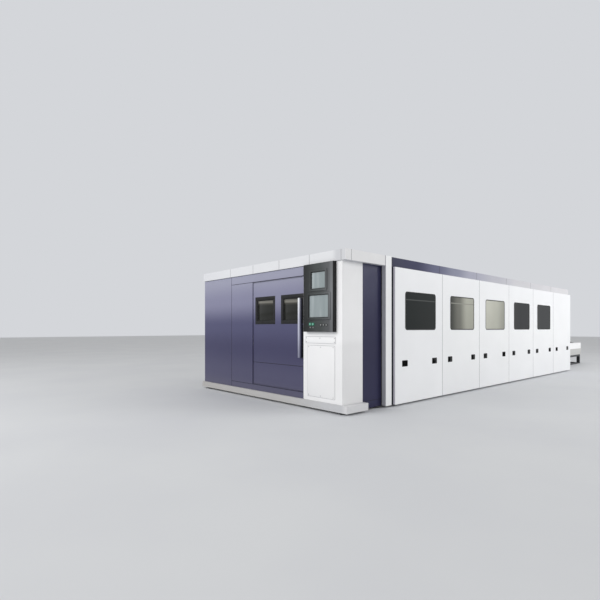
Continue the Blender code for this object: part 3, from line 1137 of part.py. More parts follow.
def main():
    """Empties the scene and builds the machine."""
    for left_over in list(bpy.data.objects):
        bpy.data.objects.remove(left_over)
    white = steel("white_paint", (0.86, 0.87, 0.88), 0.35)
    purple = steel("purple_paint", (0.13, 0.13, 0.22), 0.35)
    black = steel("black_plastic", (0.01, 0.01, 0.012), 0.45)
    charcoal = steel("charcoal_paint", (0.05, 0.055, 0.055), 0.3)
    bare_steel = steel("bare_steel", (0.55, 0.55, 0.57), 0.3, 1.0)
    frame_grey = steel("frame_grey", (0.20, 0.21, 0.22), 0.5)
    tinted = steel("tinted_pane", (0.04, 0.045, 0.042), 0.08)
    screen = steel("screen_glass", (0.30, 0.34, 0.34), 0.12)
    green = steel("green_button", (0.10, 0.50, 0.35), 0.3)
    pale_grey = steel("pale_grey_paint", (0.80, 0.81, 0.82), 0.4)
    lamp = steel("lamp_diffuser", (0.90, 0.90, 0.84), 0.4)
    plinth(white)
    crown(white)
    front_panels(purple)
    side_panels(purple)
    portal(white)
    console(white, pale_grey)
    control_housing(charcoal, screen, green, pale_grey)
    front_door(purple, black, bare_steel)
    side_covers(white, tinted)
    left_cladding(white)
    long_fascias(purple)
    roofs(white)
    rear_wall(white)
    enclosure_frame(frame_grey)
    partition(frame_grey, black)
    machine_bed(frame_grey)
    gantry(white, bare_steel, charcoal)
    deck = station(frame_grey, white)
    for name, level in zip(("upper_pallet", "lower_pallet"), DECK_LEVELS):
        track = TRACK_Z + level
        shuttle = slide(name + "_shuttle", (0, PALLET_FRONT, track), deck)
        pallet(name, track, shuttle, charcoal)
    cabinet_and_light(frame_grey, lamp)


main()
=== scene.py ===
"""Looks of an enclosed fiber laser cutting machine: its paints, glazing, controls, fasteners and fittings."""

import math

import bmesh
import bpy
from mathutils import Matrix, Vector


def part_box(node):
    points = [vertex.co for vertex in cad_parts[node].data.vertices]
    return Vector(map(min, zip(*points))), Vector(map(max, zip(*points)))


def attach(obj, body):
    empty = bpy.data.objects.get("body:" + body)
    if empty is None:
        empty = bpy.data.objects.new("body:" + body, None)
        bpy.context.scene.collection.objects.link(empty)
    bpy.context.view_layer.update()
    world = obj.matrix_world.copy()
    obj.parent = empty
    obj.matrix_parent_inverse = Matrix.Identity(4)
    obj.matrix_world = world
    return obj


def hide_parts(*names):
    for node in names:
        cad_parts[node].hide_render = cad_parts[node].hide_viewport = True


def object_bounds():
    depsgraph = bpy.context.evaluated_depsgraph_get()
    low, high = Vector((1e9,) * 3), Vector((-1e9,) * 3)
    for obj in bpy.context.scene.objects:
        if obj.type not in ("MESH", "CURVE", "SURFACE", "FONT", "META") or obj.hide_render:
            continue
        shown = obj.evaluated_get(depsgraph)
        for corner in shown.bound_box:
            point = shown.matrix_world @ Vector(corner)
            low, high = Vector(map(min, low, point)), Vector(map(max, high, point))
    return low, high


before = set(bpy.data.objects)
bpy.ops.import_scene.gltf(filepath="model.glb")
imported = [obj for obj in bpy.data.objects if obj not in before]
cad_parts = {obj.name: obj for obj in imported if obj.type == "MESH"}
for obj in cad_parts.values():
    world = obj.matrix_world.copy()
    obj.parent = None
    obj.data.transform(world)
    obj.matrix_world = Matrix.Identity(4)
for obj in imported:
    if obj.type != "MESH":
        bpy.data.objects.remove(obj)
CAD_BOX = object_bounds()

# Sizes in metres; a section is a row of (growth outwards, height towards the viewer) points
SEAT_GAP = 0.0003  # between pieces that touch
BORE_GAP = 0.0006  # round a button's cap
FIT_GAP = 0.0004  # round pieces that are pushed on or in
LEAST_CORNER = 0.0004
NEAR = 0.0001  # places closer than this are the same
MERGE = 0.00001

# Front door
DOOR_BORDER = 0.055  # of a window frame round its glass
HANDLE_BORDER = 0.09  # of the right window's frame, beside the pull bar
FRAME_PROUD = 0.001  # the window frames stand this far ahead of the leaf
FRAME_EDGE = 0.0025
GLASS_DEPTH = 0.016  # from a frame's face to its glass
PANE_SHEET = 0.006
PANE_EDGE = 0.0008
BEAD_CORNER = 0.004
BEAD_SECTION = ((0.0, 0.0), (0.0, 0.010), (-0.004, 0.012), (-0.009, 0.006), (-0.010, 0.0))
HANDLE_WIDTH = 0.036
HANDLE_DEPTH = 0.054
HANDLE_ROUNDING = 0.022  # on the side of the hand
HANDLE_FAR_ROUNDING = 0.003
HANDLE_END_EDGE = 0.0012
HANDLE_INSET = 0.002
HANDLE_TRIM = 0.012  # taken off each end
LINER_GAP = 0.001
LINER_WIDTH = 0.038
LINER_DEPTH = 0.019
LINER_PROUD = 0.0005
LINER_EDGE = 0.003
LINER_CLEAR = 0.012  # from the liner's top to the window above it

# Console
PLATE_CORNER = 0.008
PLATE_EDGE = 0.0012
PLATE_SCREW = 0.0062  # radius of a screw's head
SCREW_PROFILE = ((1.0, 0.0), (1.0, 0.35), (0.72, 0.62), (0.45, 0.66))  # in shares of its radius
SCREW_SOCKET_RIM = 0.04
SCREW_SOCKET_DEPTH = 0.4
PLATE_SEAL_SECTION = ((0.0004, 0.0003), (0.0004, 0.0012), (0.0042, 0.0012), (0.0048, 0.0003))
STRIP_SCREW_INSET = 0.018
COVER_SCREW_INSET = 0.028
COVER_SCREW_DROP = 0.0196
SCREEN_CORNER = 0.004
BEZEL_WIDTH = 0.028
BEZEL_PROUD = 0.014
BEZEL_SECTION = ((BEZEL_WIDTH + 0.006, -0.006), (BEZEL_WIDTH + 0.006, 0.0),
                 (BEZEL_WIDTH, BEZEL_PROUD - 0.003),
                 (BEZEL_WIDTH - 0.004, BEZEL_PROUD), (0.006, BEZEL_PROUD - 0.001),
                 (0.001, BEZEL_PROUD - 0.006), (0.0, -0.006))
LIP_WIDTH = 0.009  # of the black lip between a bezel and its screen
LIP_CORNER = 0.003
LIP_SECTION = ((LIP_WIDTH - FIT_GAP, 0.0135), (0.002, 0.010), (0.0, -0.0018), (LIP_WIDTH - FIT_GAP, -0.0018))
CAP_SHOULDER = 0.003  # a cap's straight wall ends this far below its top
CAP_ROUNDING = (0.002, 0.0008)  # its dome begins this far in and down
CAP_FLAT = 0.6  # share of its radius
COLLAR_SECTION = ((0.0, 0.0), (0.0, 0.0045), (0.0015, 0.0055), (0.005, 0.0035), (0.006, 0.0))
GREEN_PLATE_BORDER = 0.009
GREEN_PLATE_CORNER = 0.006
GREEN_PLATE_SHEET = (0.0001, 0.0009)  # its back and its face, ahead of the housing
LENS_SHOULDER = 0.002
LENS_ROUNDING = 0.0036
LENS_SHARE = 0.75
LENS_TOP = 0.0043

# Side covers
COVER_COUNT = 6
WINDOW_COUNT = 5
COVER_PITCH = 1.3585
COVER_EDGE = 0.053  # depth of the first cover's edge that is painted with shade, from its face inwards
FASCIA_LEAD = 0.053  # the fascia starts this far ahead of the covers
GRIP_INSET = 0.18
GRIP_WIDTH = 0.145
GRIP_BOTTOM = 0.585
GRIP_HEIGHT = 0.093
GRIP_WALL = 0.004
GRIP_FLANGE = 0.006
GRIP_CORNER = 0.004
GRIP_SECTION = ((GRIP_FLANGE, 0.0004), (GRIP_FLANGE - 0.001, 0.0018), (-0.002, 0.0018), (-0.003, 0.0),
                (-0.003, -0.030), (0.0, -0.0305))
GRIP_FLOOR = (0.0308, 0.0285)  # back and face of the cup's floor, behind the cover's face
GRIP_FLOOR_TRIM = 0.002
GRIP_FLOOR_EDGE = 0.0005
GRIP_RIBS = 5
GRIP_RIB_DEPTH = (0.0287, 0.014)
GRIP_RIB_HALF = 0.0016
GRIP_RIB_EDGE = 0.0006
WINDOW_RADIUS = 0.045
WINDOW_GASKET_SECTION = ((0.004, 0.0002), (0.003, 0.0028), (-0.006, 0.0034), (-0.011, 0.0016),
                         (-0.012, -0.0009))

# Joints
JOINT_PROUD = 0.0006
JOINT_DEPTH = 0.004
BEAD_GAP = 0.0005  # where one joint profile meets another
JOINT_TRIM = 0.001  # a profile ends this far short of its panel's edge
CROWN_FIRST_LENGTH = 0.951
CROWN_LENGTH = 0.6885
CROWN_LENGTH_COUNT = 4
CROWN_CORNER = 0.085
CROWN_SIDE_SEAM = 0.122
CROWN_BEAD = 0.0075
PANEL_BEAD = 0.008
COVER_BEAD = 0.0065
FASCIA_BEAD_RISE = 0.006  # above the covers
STRIP_GAP = 0.001  # from the strips over and under the door to the leaf
STRIP_DEPTH = 0.006
STRIP_LAP = 0.02  # behind the header and the sill
STRIP_EDGE = 0.0008
LEAF_SEAM = (-0.003, 0.005)  # foot and head of the leaf's joint, from the lower panel's top
BASE_JOINT = (0.129, 0.137)
BASE_JOINT_SHEET = 0.0015
BASE_JOINT_TRIM = 0.002
ROOF_STRIP_HALF = 0.02
ROOF_STRIP_SHEET = 0.003
ROOF_STRIP_TRIM = 0.004
ROOF_STRIP_LAP = 0.001  # into the roof's face
ROOF_STRIP_EDGE = 0.0012

# Pallets
PALLET_RAIL = 0.09  # width of the frame's end beams
PALLET_INNER = 1.095  # half the clear width
SLAT_RISE = 0.058  # the slats stand this far above their pallet's frame
SLAT_HEIGHT = 0.11
SLAT_TOOTH = 0.03
SLAT_TEETH = 10
SLAT_SHEET = 0.004
WELDED_SLATS = 18  # slats that are one with their pallet's frame
SLATS_BETWEEN = 3  # loose slats between two welded ones

# Cutting head
HEAD_RADIUS = 0.045
NECK_RADIUS = 0.038
NECK_BOTTOM = 1.17
NECK_TOP = 1.19
NOZZLE_RADIUS = 0.022
NUT_BOTTOM = 0.925
SHOULDER = 0.96
CERAMIC_SECTION = ((0.0, NUT_BOTTOM + 0.012), (0.0, SHOULDER - 0.002), (0.007, SHOULDER - 0.002),
                   (0.009, SHOULDER - 0.004), (0.009, NUT_BOTTOM + 0.013), (0.008, NUT_BOTTOM + 0.012))
NUT_SECTION = ((0.0, NUT_BOTTOM), (0.0, NUT_BOTTOM + 0.011), (0.005, NUT_BOTTOM + 0.011),
               (0.006, NUT_BOTTOM + 0.010), (0.006, NUT_BOTTOM + 0.001), (0.005, NUT_BOTTOM))
NECK_SEAL_SECTION = ((0.0, NECK_BOTTOM + 0.001), (0.0, NECK_TOP - 0.001), (0.004, NECK_TOP - 0.002),
                     (0.005, (NECK_BOTTOM + NECK_TOP) / 2), (0.004, NECK_BOTTOM + 0.002))

# Places read from the solids
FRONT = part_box("front_plinth")[0].y  # the plinth's front face
HOUSING_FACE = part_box("indicator_lamp_1")[1].y + SEAT_GAP
LEAF_LOW, LEAF_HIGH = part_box("door_leaf")
GLASS_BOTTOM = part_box("door_window_left")[0].z + DOOR_BORDER
GLASS_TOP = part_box("door_window_left")[1].z - DOOR_BORDER
LINER_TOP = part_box("door_window_right")[0].z - LINER_CLEAR
COVER_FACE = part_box("side_cover_1")[1].x
COVERS_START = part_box("side_cover_1")[0].y
COVERS_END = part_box("side_cover_%d" % COVER_COUNT)[1].y
WINDOW_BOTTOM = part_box("side_window_1")[0].z
WINDOW_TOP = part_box("side_window_1")[1].z
ROOF_TOP = CAD_BOX[1][2]

# Heights between which the coats and their painted light and shade change
PANEL_FOOT = 0.12
PANEL_HEAD = 2.08
SIDE_PANEL_FOOT = 0.03
COLUMN_FOOT = 0.13
DECK_FOOT = 0.30
DECK_HEAD = 0.70

# Camera and light, in metres, degrees and watts
CAMERA_PLACE = (5.674, -10.462, 1.165)
CAMERA_TURN = 47.8
CAMERA_LENS = 25.82  # millimetres
SENSOR_WIDTH = 36.0
CAMERA_RISE_SHARE = 0.0473  # lens shift that frames the machine above the middle
SIGHT = 200.0
ROOM_COLOUR = (1.0, 0.995, 0.98, 1.0)
ROOM_LIGHT = 0.66
LAMP_SIZE = 8.0
FRONT_LAMP = ((-3.0, -19.0, 7.5), (0.5, -5.5, 1.0), 980.0)
SIDE_LAMP = ((13.0, 5.0, 7.0), (1.8, 0.8, 1.0), 930.0)
FLOOR_HALF = 60.0


def tone(red, green, blue):
    """A colour from 0 to 255 screen values, as scene-linear RGBA."""
    channels = []
    for value in (red, green, blue):
        share = value / 255
        channels.append(share / 12.92 if share <= 0.04045 else ((share + 0.055) / 1.055) ** 2.4)
    return (*channels, 1.0)


# Finishes
NOISE_LOW = 0.3  # a noise's values seldom leave these limits
NOISE_HIGH = 0.7
NO_TINT = (255, 255, 255)
CLOUD_SCALE = 1.7  # of a powder coat's faint clouds
SHEEN_SCALE = 6.0
PEEL_SCALE = 420.0  # of its orange peel
PEEL_DEPTH = 0.00012
GLASS_SLOPE = 0.045  # the painted sheen on the door's glass rises this share either side


def coating(name, roughness, metallic=0.0, coat=0.0, coat_roughness=0.1, shine=0.5):
    """A new finish: its material, node tree and shader."""
    material = bpy.data.materials.new(name)
    material.use_nodes = True
    tree = material.node_tree
    shader = tree.nodes["Principled BSDF"]
    shader.inputs["Roughness"].default_value = roughness
    shader.inputs["Metallic"].default_value = metallic
    shader.inputs["Specular IOR Level"].default_value = shine
    shader.inputs["Coat Weight"].default_value = coat
    shader.inputs["Coat Roughness"].default_value = coat_roughness
    return material, tree, shader


def object_place(tree):
    """Places on the piece in metres."""
    return tree.nodes.new("ShaderNodeTexCoord").outputs["Object"]


def grain(tree, scale, stretch=(1, 1, 1), detail=3.0):
    """Noise from 0 to 1 over the piece, stretched into streaks where wanted."""
    mapping = tree.nodes.new("ShaderNodeMapping")
    mapping.inputs["Scale"].default_value = stretch
    tree.links.new(object_place(tree), mapping.inputs["Vector"])
    noise = tree.nodes.new("ShaderNodeTexNoise")
    noise.inputs["Scale"].default_value = scale
    noise.inputs["Detail"].default_value = detail
    tree.links.new(mapping.outputs["Vector"], noise.inputs["Vector"])
    return noise.outputs["Fac"]


def spread(tree, value, low, high, start=0.0, end=1.0):
    """Maps a value that runs from start to end onto low to high."""
    node = tree.nodes.new("ShaderNodeMapRange")
    node.inputs["From Min"].default_value = start
    node.inputs["From Max"].default_value = end
    node.inputs["To Min"].default_value = low
    node.inputs["To Max"].default_value = high
    tree.links.new(value, node.inputs["Value"])
    return node.outputs["Result"]


def along(tree, axis):
    """The place along X, Y or Z in metres."""
    split = tree.nodes.new("ShaderNodeSeparateXYZ")
    tree.links.new(object_place(tree), split.inputs["Vector"])
    return split.outputs[axis]


def graded(tree, value, stops):
    """A colour ramp over a value from 0 to 1, from (share, screen colour) stops."""
    ramp = tree.nodes.new("ShaderNodeValToRGB")
    ramp.color_ramp.interpolation = "EASE"
    elements = ramp.color_ramp.elements
    while len(elements) < len(stops):
        elements.new(0.5)
    for element, (share, colour) in zip(elements, stops):
        element.position = share
        element.color = tone(*colour)
    tree.links.new(value, ramp.inputs["Fac"])
    return ramp.outputs["Color"]


def mixed(tree, share, first, second, blend="MIX"):
    """Two colours mixed by a value; each may be a colour or a socket."""
    node = tree.nodes.new("ShaderNodeMix")
    node.data_type = "RGBA"
    node.blend_type = blend
    for socket, source in ((node.inputs[0], share), (node.inputs[6], first), (node.inputs[7], second)):
        if isinstance(source, bpy.types.NodeSocket):
            tree.links.new(source, socket)
        else:
            socket.default_value = source
    return node.outputs[2]


def shaded(tree, colour, shade):
    """A colour darkened by a shade."""
    return mixed(tree, 1.0, colour, shade, "MULTIPLY")


def bumps(tree, shader, height, distance):
    """Relief on the surface from a height value; distance is its depth in metres."""
    node = tree.nodes.new("ShaderNodeBump")
    node.inputs["Distance"].default_value = distance
    node.inputs["Strength"].default_value = 1.0
    tree.links.new(height, node.inputs["Height"])
    tree.links.new(node.outputs["Normal"], shader.inputs["Normal"])


def glowing(shader, colour, strength):
    """Lights the shader from inside."""
    shader.inputs["Emission Color"].default_value = tone(*colour)
    shader.inputs["Emission Strength"].default_value = strength


def by_place(axis, low, high, stops):
    """A colour source that changes along X, Y or Z between two places."""
    return lambda tree: graded(tree, spread(tree, along(tree, axis), 0.0, 1.0, low, high), stops)


def both(first, second):
    """A colour source that multiplies two others."""
    return lambda tree: shaded(tree, first(tree), second(tree))


def clouded(tree, shader, colour, scale, least):
    """Gives the shader a colour, clouded by a noise that darkens it to the least share at most."""
    cloud = spread(tree, grain(tree, scale), least, 1.0, NOISE_LOW, NOISE_HIGH)
    tree.links.new(shaded(tree, colour, cloud), shader.inputs["Base Color"])


def mottled(tree, shader, noise, dark, pale):
    """Gives the shader a colour that a noise moves between two screen colours."""
    tree.links.new(graded(tree, noise, ((NOISE_LOW, dark), (NOISE_HIGH, pale))), shader.inputs["Base Color"])


def powder(name, colour_of, roughness=0.4, variation=0.03, shine=0.3):
    """A powder coat: a colour with faint clouding, uneven sheen and a fine orange peel."""
    material, tree, shader = coating(name, roughness, shine=shine)
    colour = colour_of(tree) if callable(colour_of) else tone(*colour_of)
    clouded(tree, shader, colour, CLOUD_SCALE, 1.0 - variation)
    sheen = spread(tree, grain(tree, SHEEN_SCALE), roughness - 0.04, roughness + 0.05, NOISE_LOW, NOISE_HIGH)
    tree.links.new(sheen, shader.inputs["Roughness"])
    bumps(tree, shader, grain(tree, PEEL_SCALE, detail=1.0), PEEL_DEPTH)
    return material


def white_powder():
    """The white coat of covers, roofs and rear, with painted shade that makes it a touch greyer towards the
    floor.
    """
    return powder("white powder coat", by_place("Z", 0.0, ROOF_TOP, (
        (0.0, (237, 238, 240)), (0.5, (243, 244, 245)), (1.0, (243, 244, 246)))))


def leading_white():
    """The first cover's white coat, with painted shade on its edge beside the portal: lilac grey there, and
    dark in the joint behind it.
    """
    low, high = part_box("side_cover_1")

    def colour(tree):
        edge = by_place("X", high.x - COVER_EDGE, high.x, (
            (0.0, (58, 58, 68)), (0.34, (62, 62, 72)), (0.38, (222, 221, 231)), (1.0, (224, 223, 232))))(tree)
        onward = by_place("Y", low.y, high.y, (
            (0.0, (0, 0, 0)), (0.0015, (0, 0, 0)), (0.004, NO_TINT), (1.0, NO_TINT)))(tree)
        return mixed(tree, onward, edge, tone(242, 243, 245))
    return powder("first cover coat", colour)


def crown_white():
    """The crown's slightly greyer coat, with painted shade: greyer to the left and darker near its right
    corner.
    """
    low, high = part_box("crown_fascia")
    return powder("crown white coat", by_place("X", low.x, high.x, (
        (0.0, (221, 222, 226)), (0.6, (226, 227, 230)), (0.93, (228, 229, 232)), (0.96, (206, 207, 211)),
        (0.998, (210, 211, 214)), (1.0, (227, 227, 228)))), roughness=0.42)


def console_white():
    """The bright coat of the console's column and plates, with painted light that brightens it just under the
    housing, and painted shade that greys it a little at its foot and round the column's right corner.
    """
    low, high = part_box("console_column")
    tall = by_place("Z", COLUMN_FOOT, PANEL_HEAD, (
        (0.0, (240, 240, 241)), (0.4, (244, 244, 245)), (0.47, (252, 252, 253)), (1.0, (246, 246, 247))))
    wide = by_place("X", low.x, high.x, ((0.0, NO_TINT), (0.985, NO_TINT), (1.0, (246, 246, 246))))
    return powder("console white coat", both(tall, wide), roughness=0.42)


def plinth_white():
    """The plinth's coat, with painted shade that makes it greyer to the left."""
    low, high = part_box("front_plinth")
    return powder("plinth white coat", by_place("X", low.x, high.x, (
        (0.0, (180, 178, 176)), (0.6, (186, 185, 184)), (0.97, (197, 198, 201)), (1.0, (216, 216, 218)))),
        roughness=0.45)


def portal_white():
    """The portal's white coat; its front edge, which closes the purple side, is painted grey as shade."""
    low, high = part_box("portal_frame")
    return powder("portal coat", by_place("Y", low.y, high.y, (
        (0.0, (190, 191, 198)), (0.012, (196, 197, 203)), (0.03, (242, 243, 244)), (1.0, (240, 241, 242)))))


def deck_coat():
    """The lift deck: white above, pale grey below its upper track."""
    return powder("lift deck coat", by_place("Z", DECK_FOOT, DECK_HEAD, (
        (0.0, (196, 196, 194)), (0.49, (200, 200, 198)), (0.51, (250, 250, 251)), (1.0, (252, 252, 253)))),
        roughness=0.42)


def pallet_coat(node):
    """A pallet's dark frame under its bare, flame-cut slats."""
    low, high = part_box(node)
    share = 1.0 - SLAT_RISE / (high.z - low.z)
    return powder(node.replace("_", " ") + " coat", by_place("Z", low.z, high.z, (
        (0.0, (60, 61, 63)), (share, (66, 67, 69)), (share + 0.01, (142, 139, 135)), (1.0, (156, 153, 149)))),
        roughness=0.5, variation=0.12)


def front_purple():
    """The front's purple coat, with a painted reflection that pales it upwards and slightly at its foot."""
    return powder("front purple coat", by_place("Z", PANEL_FOOT, PANEL_HEAD, (
        (0.0, (92, 91, 112)), (0.12, (82, 81, 107)), (0.36, (68, 67, 97)), (0.56, (82, 82, 113)),
        (0.78, (134, 134, 159)), (1.0, (157, 158, 177)))), roughness=0.36, shine=0.2)


def side_purple():
    """The front cell's sides: the front's purple painted deeper as shade, darkest a little below the middle.
    """
    return powder("side purple coat", by_place("Z", SIDE_PANEL_FOOT, PANEL_HEAD, (
        (0.0, (47, 47, 76)), (0.45, (41, 41, 70)), (1.0, (50, 51, 81)))), roughness=0.36, shine=0.2)


def fascia_purple():
    """The long fascia, with painted shade that darkens it beside the front cell and a painted reflection that
    fades it to pale grey behind.
    """
    return powder("graded fascia coat", by_place("Y", COVERS_START - FASCIA_LEAD, COVERS_END, (
        (0.0, (44, 44, 54)), (0.006, (46, 47, 62)), (0.01, (46, 48, 74)), (0.084, (52, 53, 84)),
        (0.16, (100, 102, 128)), (0.24, (138, 141, 160)), (0.31, (170, 171, 186)), (0.45, (190, 190, 198)),
        (0.60, (206, 205, 209)), (1.0, (216, 215, 218)))), roughness=0.38, shine=0.15)


def charcoal_coat():
    """The control housing's charcoal coat, with a painted highlight in a band near its right edge, and
    painted shade that turns it black round the corner and darkens its left side, its foot and its top.
    """
    low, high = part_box("control_housing")
    across = by_place("X", low.x, high.x, (
        (0.0, (44, 46, 46)), (0.54, (80, 84, 84)), (0.84, (100, 102, 104)), (0.944, (124, 126, 129)),
        (0.979, (116, 118, 120)), (0.99, (36, 37, 38)), (1.0, (30, 31, 32))))
    upward = by_place("Z", low.z, high.z, ((0.0, (216, 216, 216)), (0.5, NO_TINT), (1.0, (232, 232, 232))))
    return powder("charcoal housing coat", both(across, upward), roughness=0.32, variation=0.05, shine=0.22)


def dark_coat(name, colour, roughness=0.45):
    """A plain machine coat or profile of one tone."""
    return powder(name, colour, roughness=roughness, variation=0.10)


def moulded_black():
    """Moulded black plastic with a fine leather-like grain."""
    material, tree, shader = coating("moulded black plastic", roughness=0.46, shine=0.25)
    mottled(tree, shader, grain(tree, 30.0), (22, 22, 23), (31, 31, 32))
    bumps(tree, shader, grain(tree, 900.0, detail=2.0), distance=0.0002)
    return material


def rubber():
    """Dull black rubber of seals and beads."""
    material, tree, shader = coating("black rubber", roughness=0.75)
    mottled(tree, shader, grain(tree, 60.0), (24, 24, 24), (36, 36, 36))
    bumps(tree, shader, grain(tree, 500.0), distance=0.0003)
    return material


def brushed_steel(name, dark, pale, stretch, roughness=0.3):
    """Bare metal, brushed along one direction."""
    material, tree, shader = coating(name, roughness, metallic=1.0)
    lines = grain(tree, 60.0, stretch=stretch, detail=4.0)
    mottled(tree, shader, lines, dark, pale)
    sheen = spread(tree, lines, roughness - 0.06, roughness + 0.1, NOISE_LOW, NOISE_HIGH)
    tree.links.new(sheen, shader.inputs["Roughness"])
    bumps(tree, shader, lines, distance=0.00008)
    return material


def satin_plastic(name, colour, roughness=0.35):
    """Satin moulded plastic."""
    material, tree, shader = coating(name, roughness, coat=0.1)
    clouded(tree, shader, tone(*colour), scale=25.0, least=0.93)
    bumps(tree, shader, grain(tree, 700.0), distance=0.00008)
    return material


def pull_bar_coat():
    """The pull bar's bright anodised coat, with painted shade that darkens it towards the leaf and towards
    its foot.
    """
    low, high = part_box("door_handle")
    deep = by_place("Y", high.y - HANDLE_DEPTH, high.y, (
        (0.0, (238, 240, 244)), (0.12, (214, 217, 226)), (0.40, (150, 152, 168)), (0.70, (92, 94, 112)),
        (1.0, (58, 60, 74))))
    tall = by_place("Z", low.z, high.z, ((0.0, (150, 150, 168)), (0.5, (206, 206, 222)), (1.0, NO_TINT)))
    return powder("anodised pull bar", both(deep, tall), roughness=0.3, variation=0.04, shine=0.3)


def lit_cap(name, colour, glow, strength):
    """A push button's plastic, lit from inside."""
    material, tree, shader = coating(name, roughness=0.22, coat=0.4)
    clouded(tree, shader, tone(*colour), scale=90.0, least=0.85)
    glowing(shader, glow, strength)
    return material


def tinted_window(name, stops, low, high, strip=None):
    """Tinted acrylic over the cutting bay, with painted light: dark, or painted as lit from inside along Y, a
    touch darker towards the bottom; strip is the painted pale line of a lamp.
    """
    material, tree, shader = coating(name, roughness=0.10, coat=0.04, coat_roughness=0.05, shine=0.10)
    shade = spread(tree, along(tree, "Z"), 0.90, 1.04, WINDOW_BOTTOM, WINDOW_TOP)
    colour = shaded(tree, by_place("Y", low, high, stops)(tree), shade)
    if strip:
        line = by_place("Z", WINDOW_BOTTOM, WINDOW_TOP, (
            (0.0, (0, 0, 0)), (0.775, (0, 0, 0)), (0.790, NO_TINT), (0.800, NO_TINT), (0.815, (0, 0, 0)),
            (1.0, (0, 0, 0))))(tree)
        colour = mixed(tree, line, colour, tone(*strip))
    clouded(tree, shader, colour, scale=2.5, least=0.94)
    return material


def door_glass():
    """Dark laser-safe glass with a painted reflection: a soft pale sheen across its upper edge."""
    material, tree, shader = coating("dark door glass", roughness=0.12, coat=0.1, coat_roughness=0.05,
                                     shine=0.15)
    lifted = tree.nodes.new("ShaderNodeMath")
    lifted.operation = "ADD"
    height = spread(tree, along(tree, "Z"), 0.0, 1.0, GLASS_BOTTOM, GLASS_TOP)
    tree.links.new(height, lifted.inputs[0])
    slope = spread(tree, along(tree, "X"), -GLASS_SLOPE, GLASS_SLOPE, LEAF_LOW.x, LEAF_HIGH.x)
    tree.links.new(slope, lifted.inputs[1])
    colour = graded(tree, lifted.outputs["Value"], (
        (0.0, (38, 39, 36)), (0.70, (44, 45, 42)), (0.79, (66, 65, 60)), (0.86, (124, 122, 115)),
        (0.93, (116, 114, 108)), (1.0, (64, 63, 58))))
    clouded(tree, shader, colour, scale=5.0, least=0.92)
    return material


def screen_face():
    """A screen that is on but blank: pale blue-grey with soft upright streaks of painted reflection."""
    material, tree, shader = coating("blank screen", roughness=0.18, coat=0.5, coat_roughness=0.05)
    streak = grain(tree, 7.0, stretch=(1.0, 1.0, 0.08), detail=2.0)
    colour = graded(tree, streak, ((NOISE_LOW, (124, 135, 136)), (0.50, (140, 150, 152)),
                                   (NOISE_HIGH, (164, 173, 175))))
    tree.links.new(colour, shader.inputs["Base Color"])
    glowing(shader, (150, 162, 164), strength=0.06)
    return material


def lamp_tube():
    """The work light's opal diffuser."""
    material, tree, shader = coating("opal diffuser", roughness=0.4)
    mottled(tree, shader, grain(tree, 12.0), (238, 238, 228), (246, 246, 238))
    glowing(shader, (255, 252, 240), strength=5.0)
    return material


WHITE = white_powder()
CONSOLE_WHITE = console_white()
FRONT_PURPLE = front_purple()
CHARCOAL = charcoal_coat()
BLACK = moulded_black()
RUBBER = rubber()
PULL_BAR = pull_bar_coat()
DOOR_GLASS = door_glass()
GREEN_CAP = lit_cap("lit green cap", (104, 170, 150), (88, 180, 150), strength=0.16)
# The green ring's faint glow, on the start buttons' collars and on the plate round them, is painted light
# from the lit caps.
GREEN_RING = lit_cap("green ring", (12, 78, 58), (10, 96, 66), strength=0.12)
PALE_CAP = satin_plastic("pale grey cap", (150, 152, 151))
SCREW_STEEL = brushed_steel("screw steel", (150, 150, 152), (176, 176, 178), (1.0, 1.0, 1.0), roughness=0.38)
SLAT_STEEL = dark_coat("flame-cut slat steel", (150, 147, 143), roughness=0.5)
CERAMIC = powder("white ceramic", (232, 230, 224), roughness=0.3)
COPPER = brushed_steel("copper nozzle nut", (186, 112, 78), (214, 142, 104), (1.0, 1.0, 0.2), roughness=0.3)
# The gasket's, the sealant's and the joint profiles' greys and darks are real seals that also carry painted
# shade for the seams and the plates' edges.
PLATE_SEAL = dark_coat("pale plate gasket", (178, 179, 182), roughness=0.6)
SEALANT = dark_coat("grey sealant", (150, 151, 154), roughness=0.6)
COVER_JOINT = dark_coat("cover joint profile", (92, 93, 97), roughness=0.6)
JOINT_DARK = dark_coat("dark joint profile", (34, 33, 46), roughness=0.6)


def paint_node(name, material):
    """Gives a solid its finish."""
    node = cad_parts[name]
    if not node.material_slots:
        node.data.materials.append(material)
    for slot in node.material_slots:
        slot.material = material


def paint_windows():
    """Each side window's tint, with painted light: what shows through it changes along the machine."""
    dark = ((0.0, (38, 42, 41)), (1.0, (42, 45, 44)))
    fading = ((0.0, (66, 67, 63)), (0.35, (118, 118, 110)), (0.70, (176, 176, 164)), (1.0, (172, 172, 160)))
    lit = ((0.0, (198, 198, 186)), (0.5, (188, 188, 176)), (1.0, (158, 158, 148)))
    dim = ((0.0, (40, 40, 39)), (0.4, (26, 28, 28)), (1.0, (20, 22, 22)))
    strips = ((84, 86, 85), (150, 150, 142), None, None, None)
    for number, (stops, strip) in enumerate(zip((dark, fading, lit, dim, dim), strips), 1):
        name = "side_window_%d" % number
        low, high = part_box(name)
        paint_node(name, tinted_window("window tint %d" % number, stops, low.y, high.y, strip))


